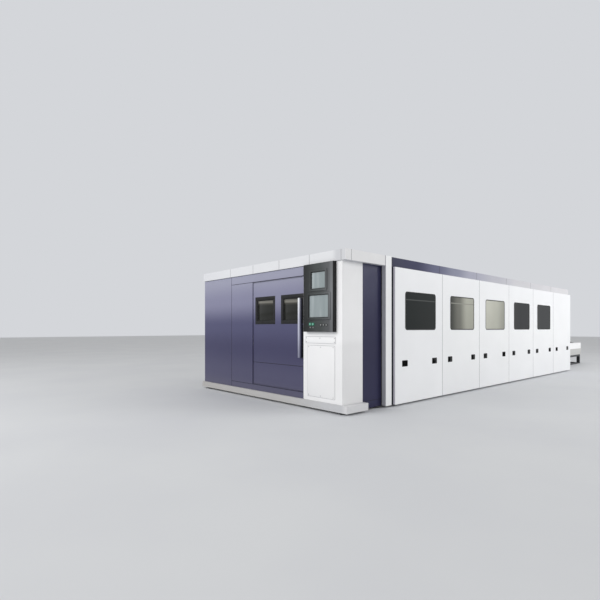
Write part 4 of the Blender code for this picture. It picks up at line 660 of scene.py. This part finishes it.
def paint_solids():
    """Finishes of the solids that show as they are."""
    white = ["front_roof", "main_roof", "left_side_covers", "rear_wall", "gantry_beam", "vertical_slide"]
    white += ["side_cover_%d" % number for number in range(2, COVER_COUNT + 1)]
    machine_grey = dark_coat("machine grey coat", (146, 149, 152))
    frame_dark = dark_coat("dark frame coat", (58, 59, 61))
    steel = brushed_steel("brushed steel", (150, 151, 156), (196, 197, 202), (1.0, 1.0, 0.03))
    ground = brushed_steel("ground rail steel", (170, 171, 175), (205, 206, 210), (1.0, 0.03, 1.0),
                           roughness=0.22)
    finishes = (
        (WHITE, white),
        (leading_white(), ["side_cover_1"]),
        (crown_white(), ["crown_fascia"]),
        (CONSOLE_WHITE, ["console_column", "console_cover", "console_strip"]),
        (plinth_white(), ["front_plinth"]),
        (portal_white(), ["portal_frame"]),
        (deck_coat(), ["lift_deck"]),
        (FRONT_PURPLE, ["left_front_panel", "narrow_front_panel", "header_panel", "sill_panel", "door_leaf",
                        "door_lower_panel"]),
        (side_purple(), ["side_panel_left", "side_panel_right"]),
        (fascia_purple(), ["long_fascia_left", "long_fascia_right"]),
        (BLACK, ["door_window_left", "door_window_right", "bay_gate"]),
        (CHARCOAL, ["control_housing"]),
        (pallet_coat("upper_pallet"), ["upper_pallet"]),
        (pallet_coat("lower_pallet"), ["lower_pallet"]),
        (dark_coat("carriage coat", (66, 67, 69), roughness=0.5), ["cross_carriage"]),
        (PULL_BAR, ["door_handle"]),
        (steel, ["cutting_head"]),
        (ground, ["linear_rail_left", "linear_rail_right"]),
        (machine_grey, ["machine_bed", "partition_wall", "electrical_cabinet"]),
        (frame_dark, ["enclosure_frame", "station_frame"]),
        (screen_face(), ["upper_screen", "lower_screen"]),
        (GREEN_CAP, ["start_button_1", "start_button_2"]),
        (PALE_CAP, ["panel_button_1", "panel_button_2", "panel_button_3", "indicator_lamp_1",
                    "indicator_lamp_2"]),
        (lamp_tube(), ["work_light"]))
    for material, names in finishes:
        for name in names:
            paint_node(name, material)
    paint_windows()


# Modelling helpers
QUARTER = math.radians(90.0)
FACINGS = {  # turns a form that faces up towards the front or the right
    "front": Matrix.Rotation(QUARTER, 4, "X"),
    "right": Matrix.Rotation(QUARTER, 4, "Z") @ Matrix.Rotation(QUARTER, 4, "X"),
    "up": Matrix.Identity(4),
}


def meshed(name, bm, material=None):
    """Turns a bmesh into a mesh."""
    mesh = bpy.data.meshes.new(name)
    bm.to_mesh(mesh)
    bm.free()
    if material:
        mesh.materials.append(material)
    return mesh


def linked(name, data):
    """A new object in the scene."""
    made = bpy.data.objects.new(name, data)
    bpy.context.collection.objects.link(made)
    return made


def shaped(name, bm, material, body="root", replaces=(), smooth=35.0):
    """Turns a bmesh into a piece that rides on a body and takes the finish it is given."""
    mesh = meshed(name, bm, material)
    mesh.shade_smooth()
    mesh.set_sharp_from_angle(angle=math.radians(smooth))
    made = linked(name, mesh)
    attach(made, body)
    if replaces:
        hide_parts(*replaces)


def centre(low, high, face=None):
    """The middle of a box, or of its face at a place along Y."""
    middle = (low + high) / 2
    return middle if face is None else Vector((middle.x, face, middle.z))


def half_size(low, high):
    """Half a box's width and half its height, seen from the front."""
    return (high.x - low.x) / 2, (high.z - low.z) / 2


def edges_along(bm, axis, least):
    """The edges that reach further than a length along an axis, by its number."""
    return [edge for edge in bm.edges if abs(edge.verts[0].co[axis] - edge.verts[1].co[axis]) > least]


def soften(bm, edges, width, segments=2):
    """Rounds edges off."""
    bmesh.ops.bevel(bm, geom=edges, offset=width, offset_type="OFFSET", affect="EDGES", segments=segments,
                    profile=0.5, material=-1, clamp_overlap=True)


def block(bm, low, high, edge=0.0, segments=2):
    """A rectangular solid between two corners, with softened edges."""
    low = Vector(low)
    high = Vector(high)
    verts = bmesh.ops.create_cube(bm, size=1.0)["verts"]
    bmesh.ops.scale(bm, vec=high - low, verts=verts)
    bmesh.ops.translate(bm, vec=(low + high) / 2, verts=verts)
    if edge:
        soften(bm, list({link for vert in verts for link in vert.link_edges}), edge, segments)


def outline(half_width, half_height, radius, steps, height):
    """Points round a rectangle with round corners, at a height over its own plane."""
    radius = min(radius, half_width, half_height)
    points = []
    for quarter, (across, upward) in enumerate(((1, 1), (-1, 1), (-1, -1), (1, -1))):
        for step in range(steps + 1):
            angle = math.pi / 2 * (quarter + step / steps)
            points.append((across * (half_width - radius) + radius * math.cos(angle),
                           upward * (half_height - radius) + radius * math.sin(angle), height))
    return points


def bridged(bm, middle, facing, outlines):
    """A closed skin through outlines, each bridged to the next and the last to the first."""
    turn = Matrix.Translation(middle) @ FACINGS[facing]
    loops = []
    for points in outlines:
        verts = [bm.verts.new(turn @ Vector(point)) for point in points]
        loops.append([bm.edges.new((verts[i - 1], verts[i])) for i in range(len(verts))])
    faces = []
    for first, second in zip(loops, loops[1:] + loops[:1]):
        faces += bmesh.ops.bridge_loops(bm, edges=first + second)["faces"]
    bmesh.ops.recalc_face_normals(bm, faces=faces)


def ring(bm, middle, facing, half_width, half_height, radius, section, steps=4):
    """A closed frame round an opening, from its section."""
    bridged(bm, middle, facing,
            [outline(half_width + growth, half_height + growth, max(radius + growth, LEAST_CORNER), steps,
                     height) for growth, height in section])


def ring_piece(name, material, slot, body, *form, steps=4):
    """A piece that is one ring; the form is what ring() takes behind its bmesh."""
    bm = bmesh.new()
    ring(bm, *form, steps=steps)
    shaped(name, bm, material, body)


def pierced(bm, middle, facing, half_width, half_height, corner, hole, sheet, steps=6):
    """A flat plate with round corners and a round hole in its middle."""
    rim = (half_width, half_height, corner, steps)
    bore = (hole, hole, hole - LEAST_CORNER, steps)
    back, face = sheet
    bridged(bm, middle, facing,
            [outline(*rim, back), outline(*rim, face), outline(*bore, face), outline(*bore, back)])


def disc(bm, middle, facing, profile, sides=24):
    """A turned form from (radius, height) points, closed at both ends."""
    turn = Matrix.Translation(middle) @ FACINGS[facing]
    verts = [bm.verts.new(turn @ Vector((radius, 0.0, height))) for radius, height in profile]
    edges = [bm.edges.new(pair) for pair in zip(verts, verts[1:])]
    axis = (turn.to_3x3() @ Vector((0.0, 0.0, 1.0))).normalized()
    bmesh.ops.spin(bm, geom=verts + edges, cent=middle, axis=axis, angle=math.tau, steps=sides,
                   use_merge=True)
    bmesh.ops.remove_doubles(bm, verts=bm.verts, dist=MERGE)
    rims = [edge for edge in bm.edges if edge.is_boundary]
    if rims:
        bmesh.ops.holes_fill(bm, edges=rims, sides=sides + 2)
    bmesh.ops.recalc_face_normals(bm, faces=bm.faces)


def screw(bm, place):
    """A pan-head machine screw with a round socket, on the front."""
    radius = PLATE_SCREW
    fresh = bmesh.new()
    disc(fresh, (0.0, 0.0, 0.0), "up", [(radius * out, radius * up) for out, up in SCREW_PROFILE], sides=12)
    top = max(fresh.faces, key=lambda face: face.calc_center_median().z)
    bmesh.ops.inset_individual(fresh, faces=[top], thickness=radius * SCREW_SOCKET_RIM)
    lowered = bmesh.ops.extrude_discrete_faces(fresh, faces=[top])["faces"]
    bmesh.ops.translate(fresh, vec=(0.0, 0.0, -radius * SCREW_SOCKET_DEPTH), verts=lowered[0].verts)
    fresh.transform(Matrix.Translation(place) @ FACINGS["front"])
    mesh = meshed("screw form", fresh)
    bm.from_mesh(mesh)
    bpy.data.meshes.remove(mesh)


# Joints and strips
def upright_bead(bm, face, across, width, rise, facing):
    """A joint profile that stands upright on a face: across is its place along the face."""
    sides = (across - width / 2, across + width / 2)
    outward = 1 if facing == "right" else -1
    depths = sorted((face + outward * JOINT_PROUD, face - outward * JOINT_DEPTH))
    xs, ys = (sides, depths) if facing == "front" else (depths, sides)
    block(bm, (xs[0], ys[0], rise[0]), (xs[1], ys[1], rise[1]), JOINT_PROUD / 2, 1)


def crown_joints():
    """Grey sealant where the crown's lengths butt; its grey is painted shade for the seams."""
    low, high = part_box("crown_fascia")
    rise = (low.z + JOINT_TRIM, high.z - JOINT_TRIM)
    bm = bmesh.new()
    places = [low.x + CROWN_FIRST_LENGTH + CROWN_LENGTH * number for number in range(CROWN_LENGTH_COUNT)]
    for place in places + [high.x - CROWN_CORNER]:
        upright_bead(bm, low.y, place, CROWN_BEAD, rise, "front")
    upright_bead(bm, high.x, FRONT + CROWN_SIDE_SEAM, CROWN_BEAD, rise, "right")
    upright_bead(bm, low.x, FRONT + CROWN_SIDE_SEAM, CROWN_BEAD, rise, "left")
    shaped("crown_joint_sealant", bm, SEALANT)


def front_joints():
    """Dark joint profiles between the front panels, whose dark is painted shade for the seams, and the strips
    that close the door's head and foot.
    """
    left_low, left_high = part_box("left_front_panel")
    narrow_low, narrow_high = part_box("narrow_front_panel")
    header_low, header_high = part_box("header_panel")
    sill_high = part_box("sill_panel")[1]
    face = narrow_low.y
    right = header_high.x - JOINT_TRIM
    seam = (left_high.x + narrow_low.x) / 2
    bm = bmesh.new()
    upright_bead(bm, face, seam, PANEL_BEAD, (left_low.z + JOINT_TRIM, left_high.z - JOINT_TRIM), "front")
    for level in ((narrow_high.z + header_low.z) / 2, (sill_high.z + narrow_low.z) / 2):
        block(bm, (seam + PANEL_BEAD / 2 + BEAD_GAP, face - JOINT_PROUD, level - PANEL_BEAD / 2),
              (right, face + JOINT_DEPTH, level + PANEL_BEAD / 2), JOINT_PROUD / 2, 1)
    shaped("front_joint_profiles", bm, JOINT_DARK)
    strips = bmesh.new()
    left = narrow_high.x + JOINT_TRIM
    for back, foot, head in ((header_high.y, LEAF_HIGH.z + STRIP_GAP, header_low.z + STRIP_LAP),
                             (sill_high.y, sill_high.z - STRIP_LAP, LEAF_LOW.z - STRIP_GAP)):
        block(strips, (left, back + SEAT_GAP, foot), (right, back + STRIP_DEPTH, head), STRIP_EDGE, 1)
    shaped("door_head_and_foot_strips", strips, FRONT_PURPLE)
    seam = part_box("door_lower_panel")[1].z
    bead = bmesh.new()
    block(bead, (LEAF_LOW.x + JOINT_TRIM, LEAF_LOW.y - JOINT_PROUD, seam + LEAF_SEAM[0]),
          (LEAF_HIGH.x - JOINT_TRIM, LEAF_LOW.y + JOINT_TRIM, seam + LEAF_SEAM[1]), JOINT_PROUD / 2, 1)
    shaped("door_joint_profile", bead, JOINT_DARK, "front_door")


def side_joints():
    """Joint profiles between the side covers, between the fascia's lengths and above the base strips,
    coloured grey and dark as painted shade for the seams.
    """
    cover_low, cover_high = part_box("side_cover_1")
    fascia_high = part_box("long_fascia_right")[1]
    start = (cover_low.y + cover_high.y - COVER_PITCH) / 2
    covers = bmesh.new()
    fascias = bmesh.new()
    for number in range(1, COVER_COUNT):
        place = start + number * COVER_PITCH
        for side, facing in ((1, "right"), (-1, "left")):
            upright_bead(covers, side * COVER_FACE, place, COVER_BEAD,
                         (cover_low.z + JOINT_TRIM, cover_high.z - JOINT_TRIM), facing)
            upright_bead(fascias, side * fascia_high.x, place, COVER_BEAD,
                         (cover_high.z + FASCIA_BEAD_RISE, fascia_high.z - JOINT_TRIM), facing)
    shaped("cover_joint_profiles", covers, COVER_JOINT)
    shaped("fascia_joint_profiles", fascias, JOINT_DARK)
    base = bmesh.new()
    for side in ("right", "left"):
        low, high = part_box("side_panel_" + side)
        face, outward = (high.x, 1) if side == "right" else (low.x, -1)
        near, far = sorted((face + outward * JOINT_PROUD, face - outward * BASE_JOINT_SHEET))
        block(base, (near, low.y + BASE_JOINT_TRIM, BASE_JOINT[0]),
              (far, high.y - BASE_JOINT_TRIM, BASE_JOINT[1]), JOINT_PROUD / 2, 1)
    shaped("base_joint_profiles", base, JOINT_DARK)


def roof_joints():
    """Folded cover strips over the joints of the roof sheets."""
    low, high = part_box("main_roof")
    bm = bmesh.new()
    for number in range(1, COVER_COUNT):
        place = COVERS_START + number * COVER_PITCH
        block(bm, (low.x + ROOF_STRIP_TRIM, place - ROOF_STRIP_HALF, high.z - ROOF_STRIP_LAP),
              (high.x - ROOF_STRIP_TRIM, place + ROOF_STRIP_HALF, high.z + ROOF_STRIP_SHEET), ROOF_STRIP_EDGE)
    shaped("roof_joint_strips", bm, WHITE)


# Pallets
def slat(bm, place, low, high):
    """One toothed slat that stands across the pallet."""
    verts = bmesh.ops.create_grid(bm, x_segments=SLAT_TEETH * 2, y_segments=1, size=1.0)["verts"]
    rows = sorted({round(vert.co.x, 4) for vert in verts})
    for vert in verts:
        tip = rows.index(round(vert.co.x, 4)) % 2 == 1
        top = high if tip else high - SLAT_TOOTH
        vert.co = (vert.co.x * PALLET_INNER, place, top if vert.co.y > 0.0 else low)
    faces = list({face for vert in verts for face in vert.link_faces})
    pushed = bmesh.ops.extrude_face_region(bm, geom=faces)["geom"]
    moved = [part for part in pushed if isinstance(part, bmesh.types.BMVert)]
    bmesh.ops.translate(bm, vec=(0.0, SLAT_SHEET, 0.0), verts=moved)


def pallet_slats():
    """The slats that stand between the welded ones, so that the bed of teeth is as close as a real one."""
    for name in ("upper_pallet", "lower_pallet"):
        low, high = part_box(name)
        first = low.y + PALLET_RAIL
        last = high.y - PALLET_RAIL
        pitch = (last - first) / WELDED_SLATS
        bm = bmesh.new()
        for number in range(WELDED_SLATS + 1):
            for part in range(1, SLATS_BETWEEN + 1):
                place = first + pitch * (number - 0.5 + part / (SLATS_BETWEEN + 1))
                if first + SLAT_SHEET < place < last - SLAT_SHEET * 2:
                    slat(bm, place - SLAT_SHEET / 2, high.z - SLAT_HEIGHT, high.z)
        bmesh.ops.recalc_face_normals(bm, faces=bm.faces)
        shaped(name + "_slats", bm, SLAT_STEEL, name, smooth=20.0)


# Cutting head
def head_fittings():
    """The head's ceramic ring over the nozzle, its copper nozzle nut and the black seal round its neck."""
    low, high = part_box("cutting_head")
    foot = Vector(((low.x + high.x) / 2, low.y + HEAD_RADIUS, 0.0))
    for name, bore, section, material, slot in (
            ("head_ceramic_ring", NOZZLE_RADIUS, CERAMIC_SECTION, CERAMIC, "white_paint"),
            ("head_copper_nut", NOZZLE_RADIUS, NUT_SECTION, COPPER, "bare_steel"),
            ("head_neck_seal", NECK_RADIUS, NECK_SEAL_SECTION, RUBBER, "black_plastic")):
        radius = bore + FIT_GAP
        ring_piece(name, material, slot, "head", foot, "up", radius, radius, radius, section, steps=6)


# Front door
def door_windows():
    """Moulded window frames, a rubber bead round each opening, and dark glass."""
    for side, right_border in (("left", DOOR_BORDER), ("right", HANDLE_BORDER)):
        node = "door_window_" + side
        low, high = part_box(node)
        glass_low = Vector((low.x + DOOR_BORDER, low.y + GLASS_DEPTH, low.z + DOOR_BORDER))
        glass_high = Vector((high.x - right_border, glass_low.y + PANE_SHEET, high.z - DOOR_BORDER))
        bars = bmesh.new()
        for left, right, foot, head in ((low.x, high.x, glass_high.z, high.z),
                                        (low.x, high.x, low.z, glass_low.z),
                                        (low.x, glass_low.x, glass_low.z, glass_high.z),
                                        (glass_high.x, high.x, glass_low.z, glass_high.z)):
            block(bars, (left, low.y - FRAME_PROUD, foot), (right, high.y, head), FRAME_EDGE)
        shaped("door_frame_" + side, bars, BLACK, "front_door", (node,))
        ring_piece("door_glass_bead_" + side, RUBBER, "black_plastic", "front_door",
                   centre(glass_low, glass_high, glass_low.y), "front", *half_size(glass_low, glass_high),
                   BEAD_CORNER, BEAD_SECTION)
        pane = bmesh.new()
        block(pane, glass_low, glass_high, PANE_EDGE)
        shaped("door_glass_" + side, pane, DOOR_GLASS, "front_door")


def door_handle():
    """A deep pull bar on the leaf's edge, rounded towards the hand, beside a black finger recess."""
    low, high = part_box("door_handle")
    right = high.x - HANDLE_INSET
    left = right - HANDLE_WIDTH
    back = LEAF_LOW.y - SEAT_GAP
    front = back - HANDLE_DEPTH
    bar = bmesh.new()
    block(bar, (left, front, low.z + HANDLE_TRIM), (right, back, high.z - HANDLE_TRIM))
    hand_side = [edge for edge in edges_along(bar, 2, HANDLE_DEPTH)
                 if edge.verts[0].co.y < front + NEAR and edge.verts[0].co.x > right - NEAR]
    soften(bar, hand_side, HANDLE_ROUNDING, 8)
    far_side = [edge for edge in bar.edges if max(vert.co.x for vert in edge.verts) < left + NEAR
                and max(vert.co.y for vert in edge.verts) < front + NEAR]
    soften(bar, far_side, HANDLE_FAR_ROUNDING, 3)
    rims = [edge for edge in bar.edges if abs(edge.verts[0].co.z - edge.verts[1].co.z) < NEAR
            and min(vert.co.y for vert in edge.verts) < back - NEAR]
    soften(bar, rims, HANDLE_END_EDGE)
    shaped("pull_bar", bar, PULL_BAR, "front_door", ("door_handle",))
    liner = bmesh.new()
    block(liner, (high.x + LINER_GAP, LEAF_LOW.y - LINER_PROUD, low.z + LINER_GAP),
          (high.x + LINER_GAP + LINER_WIDTH, LEAF_LOW.y + LINER_DEPTH, LINER_TOP), LINER_EDGE)
    shaped("finger_recess_liner", liner, BLACK, "front_door")


# Console
def plate(name, node, screws):
    """A plate with a gasket on the console's face, whose grey is painted shade round the plate's edge, held
    by pan-head screws at (x, z) places.
    """
    low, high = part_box(node)
    bm = bmesh.new()
    block(bm, low, high)
    soften(bm, edges_along(bm, 1, JOINT_TRIM), PLATE_CORNER, 3)
    rim = [edge for edge in bm.edges if max(vert.co.y for vert in edge.verts) < low.y + NEAR]
    soften(bm, rim, PLATE_EDGE)
    shaped(name, bm, CONSOLE_WHITE, replaces=(node,))
    ring_piece(name + "_gasket", PLATE_SEAL, "white_paint", "root", centre(low, high, high.y), "front",
               *half_size(low, high), PLATE_CORNER, PLATE_SEAL_SECTION, steps=3)
    heads = bmesh.new()
    for x, z in screws:
        screw(heads, (x, low.y, z))
    shaped(name + "_screws", heads, SCREW_STEEL)


def console_plates():
    """The strip and the large cover plate under the control housing, each with its screws."""
    low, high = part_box("console_strip")
    left, middle, right = low.x + STRIP_SCREW_INSET, centre(low, high).x, high.x - STRIP_SCREW_INSET
    head, foot = high.z - STRIP_SCREW_INSET, low.z + STRIP_SCREW_INSET
    plate("strip_plate", "console_strip",
          [(left, head), (left, foot), (middle, head), (right, head), (right, foot)])
    low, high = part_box("console_cover")
    left, middle, right = low.x + COVER_SCREW_INSET, centre(low, high).x, high.x - COVER_SCREW_INSET
    plate("cover_plate", "console_cover",
          [(x, z) for z in (high.z - COVER_SCREW_DROP, low.z + COVER_SCREW_DROP)
           for x in (left, middle, right)])


def screen_bezels():
    """Raised bezels with sloped flanks round the two screens, and the black lips inside them."""
    for name in ("upper_screen", "lower_screen"):
        low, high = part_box(name)
        middle = centre(low, high, HOUSING_FACE)
        half_width, half_height = half_size(low, high)
        ring_piece(name.replace("screen", "bezel"), CHARCOAL, "charcoal_paint", "root", middle, "front",
                   half_width, half_height, SCREEN_CORNER, BEZEL_SECTION)
        ring_piece(name.replace("screen", "lip"), BLACK, "black_plastic", "root", middle, "front",
                   half_width - LIP_WIDTH, half_height - LIP_WIDTH, LIP_CORNER, LIP_SECTION)


def push_button(name, finish, collar_finish, collar_slot):
    """A domed push button in a turned collar."""
    low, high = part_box(name)
    middle = centre(low, high, HOUSING_FACE)
    radius = half_size(low, high)[0]
    proud = HOUSING_FACE - low.y
    inward, drop = CAP_ROUNDING
    cap = bmesh.new()
    disc(cap, middle, "front", ((radius, HOUSING_FACE - high.y), (radius, proud - CAP_SHOULDER),
                                (radius - inward, proud - drop), (radius * CAP_FLAT, proud), (0.0, proud)))
    shaped(name + "_cap", cap, finish, name, (name,))
    ring_piece(name + "_collar", collar_finish, collar_slot, "root", middle, "front", radius + BORE_GAP,
               radius + BORE_GAP, radius, COLLAR_SECTION, steps=6)


def buttons():
    """The push buttons, the green ones' plate, and the two small lamps under it."""
    for number in (1, 2):
        push_button("start_button_%d" % number, GREEN_CAP, GREEN_RING, "green_button")
    for number in (1, 2, 3):
        push_button("panel_button_%d" % number, PALE_CAP, BLACK, "black_plastic")
    boxes = [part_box("start_button_%d" % number) for number in (1, 2)]
    half_pitch = (boxes[1][0].x - boxes[0][0].x) / 2
    green = bmesh.new()
    for low, high in boxes:
        half_width, half_height = half_size(low, high)
        pierced(green, centre(low, high, HOUSING_FACE), "front", half_pitch - SEAT_GAP,
                half_height + GREEN_PLATE_BORDER, GREEN_PLATE_CORNER, half_width + BORE_GAP,
                GREEN_PLATE_SHEET)
    shaped("start_button_plate", green, GREEN_RING)
    for name in ("indicator_lamp_1", "indicator_lamp_2"):
        low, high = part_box(name)
        radius = half_size(low, high)[0]
        lens = bmesh.new()
        disc(lens, centre(low, high, HOUSING_FACE), "front",
             ((radius, SEAT_GAP), (radius, LENS_SHOULDER), (radius * LENS_SHARE, LENS_ROUNDING),
              (0.0, LENS_TOP)))
        shaped(name + "_lens", lens, PALE_CAP, replaces=(name,))


# Side covers
def grip_inserts():
    """Black moulded grip cups in the covers' pockets, each with a flange and upright ribs."""
    half_width = GRIP_WIDTH / 2 - GRIP_WALL - FIT_GAP
    half_height = GRIP_HEIGHT / 2 - GRIP_WALL - FIT_GAP
    inside = half_width - GRIP_FLOOR_TRIM
    foot = GRIP_BOTTOM + GRIP_HEIGHT / 2 - half_height + GRIP_FLOOR_TRIM
    head = GRIP_BOTTOM + GRIP_HEIGHT / 2 + half_height - GRIP_FLOOR_TRIM
    for number in range(1, COVER_COUNT + 1):
        low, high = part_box("side_cover_%d" % number)
        for letter, start in (("a", low.y + GRIP_INSET), ("b", high.y - GRIP_INSET - GRIP_WIDTH)):
            middle = Vector((COVER_FACE, start + GRIP_WIDTH / 2, GRIP_BOTTOM + GRIP_HEIGHT / 2))
            bm = bmesh.new()
            ring(bm, middle, "right", half_width, half_height, GRIP_CORNER, GRIP_SECTION, steps=3)
            block(bm, (COVER_FACE - GRIP_FLOOR[0], middle.y - inside, foot),
                  (COVER_FACE - GRIP_FLOOR[1], middle.y + inside, head), GRIP_FLOOR_EDGE, 1)
            for rib in range(GRIP_RIBS):
                place = middle.y - half_width + (rib + 0.5) * 2 * half_width / GRIP_RIBS
                block(bm, (COVER_FACE - GRIP_RIB_DEPTH[0], place - GRIP_RIB_HALF, foot),
                      (COVER_FACE - GRIP_RIB_DEPTH[1], place + GRIP_RIB_HALF, head), GRIP_RIB_EDGE, 1)
            shaped("cover_grip_%d_%s" % (number, letter), bm, BLACK)


def window_gaskets():
    """Rubber gaskets round the side windows."""
    for number in range(1, WINDOW_COUNT + 1):
        low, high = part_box("side_window_%d" % number)
        middle = Vector((COVER_FACE, (low.y + high.y) / 2, (low.z + high.z) / 2))
        ring_piece("window_gasket_%d" % number, RUBBER, "black_plastic", "root", middle, "right",
                   (high.y - low.y) / 2, (high.z - low.z) / 2, WINDOW_RADIUS, WINDOW_GASKET_SECTION, steps=8)


# Stage, light and camera
def studio_floor():
    """A pale floor that keeps the machine's shadow."""
    bm = bmesh.new()
    bmesh.ops.create_grid(bm, x_segments=1, y_segments=1, size=FLOOR_HALF)
    material, tree, shader = coating("studio floor", roughness=0.85)
    mottled(tree, shader, grain(tree, 0.6), (205, 207, 211), (209, 211, 214))
    floor = linked("studio_floor", meshed("studio_floor", bm, material))


def room():
    """Even light from all round; what is seen of the room or mirrored in the machine is a pale grey."""
    world = bpy.data.worlds.new("studio")
    bpy.context.scene.world = world
    world.use_nodes = True
    tree = world.node_tree
    tree.nodes.clear()
    rays = tree.nodes.new("ShaderNodeLightPath")
    seen = rays.outputs["Is Camera Ray"]
    for kind in ("Is Glossy Ray", "Is Transmission Ray"):
        either = tree.nodes.new("ShaderNodeMath")
        either.operation = "MAXIMUM"
        tree.links.new(seen, either.inputs[0])
        tree.links.new(rays.outputs[kind], either.inputs[1])
        seen = either.outputs["Value"]
    choice = tree.nodes.new("ShaderNodeMixShader")
    tree.links.new(seen, choice.inputs["Fac"])
    for socket, colour, strength in ((1, ROOM_COLOUR, ROOM_LIGHT), (2, tone(212, 214, 218), 1.0)):
        background = tree.nodes.new("ShaderNodeBackground")
        background.inputs["Color"].default_value = colour
        background.inputs["Strength"].default_value = strength
        tree.links.new(background.outputs["Background"], choice.inputs[socket])
    output = tree.nodes.new("ShaderNodeOutputWorld")
    tree.links.new(choice.outputs["Shader"], output.inputs["Surface"])


def soft_lamp(name, place, target, power):
    """A large square area lamp that points at a target."""
    lamp = bpy.data.lights.new(name, "AREA")
    lamp.shape = "SQUARE"
    lamp.size = LAMP_SIZE
    lamp.energy = power
    holder = linked(name, lamp)
    holder.location = place
    holder.rotation_euler = (Vector(target) - Vector(place)).to_track_quat("-Z", "Y").to_euler()


def camera():
    """A low, level viewpoint off the right front corner."""
    data = bpy.data.cameras.new("view")
    data.sensor_width = SENSOR_WIDTH
    data.lens = CAMERA_LENS
    data.shift_y = CAMERA_RISE_SHARE
    data.clip_end = SIGHT
    holder = linked("view", data)
    holder.location = CAMERA_PLACE
    holder.rotation_euler = (QUARTER, 0.0, math.radians(CAMERA_TURN))
    bpy.context.scene.camera = holder


for make in (paint_solids, crown_joints, front_joints, side_joints, roof_joints, pallet_slats, head_fittings,
             door_windows, door_handle, console_plates, screen_bezels, buttons, grip_inserts, window_gaskets):
    make()
bpy.context.scene.view_settings.view_transform = "Standard"
studio_floor()
room()
soft_lamp("front lamp", *FRONT_LAMP)
soft_lamp("side lamp", *SIDE_LAMP)
camera()
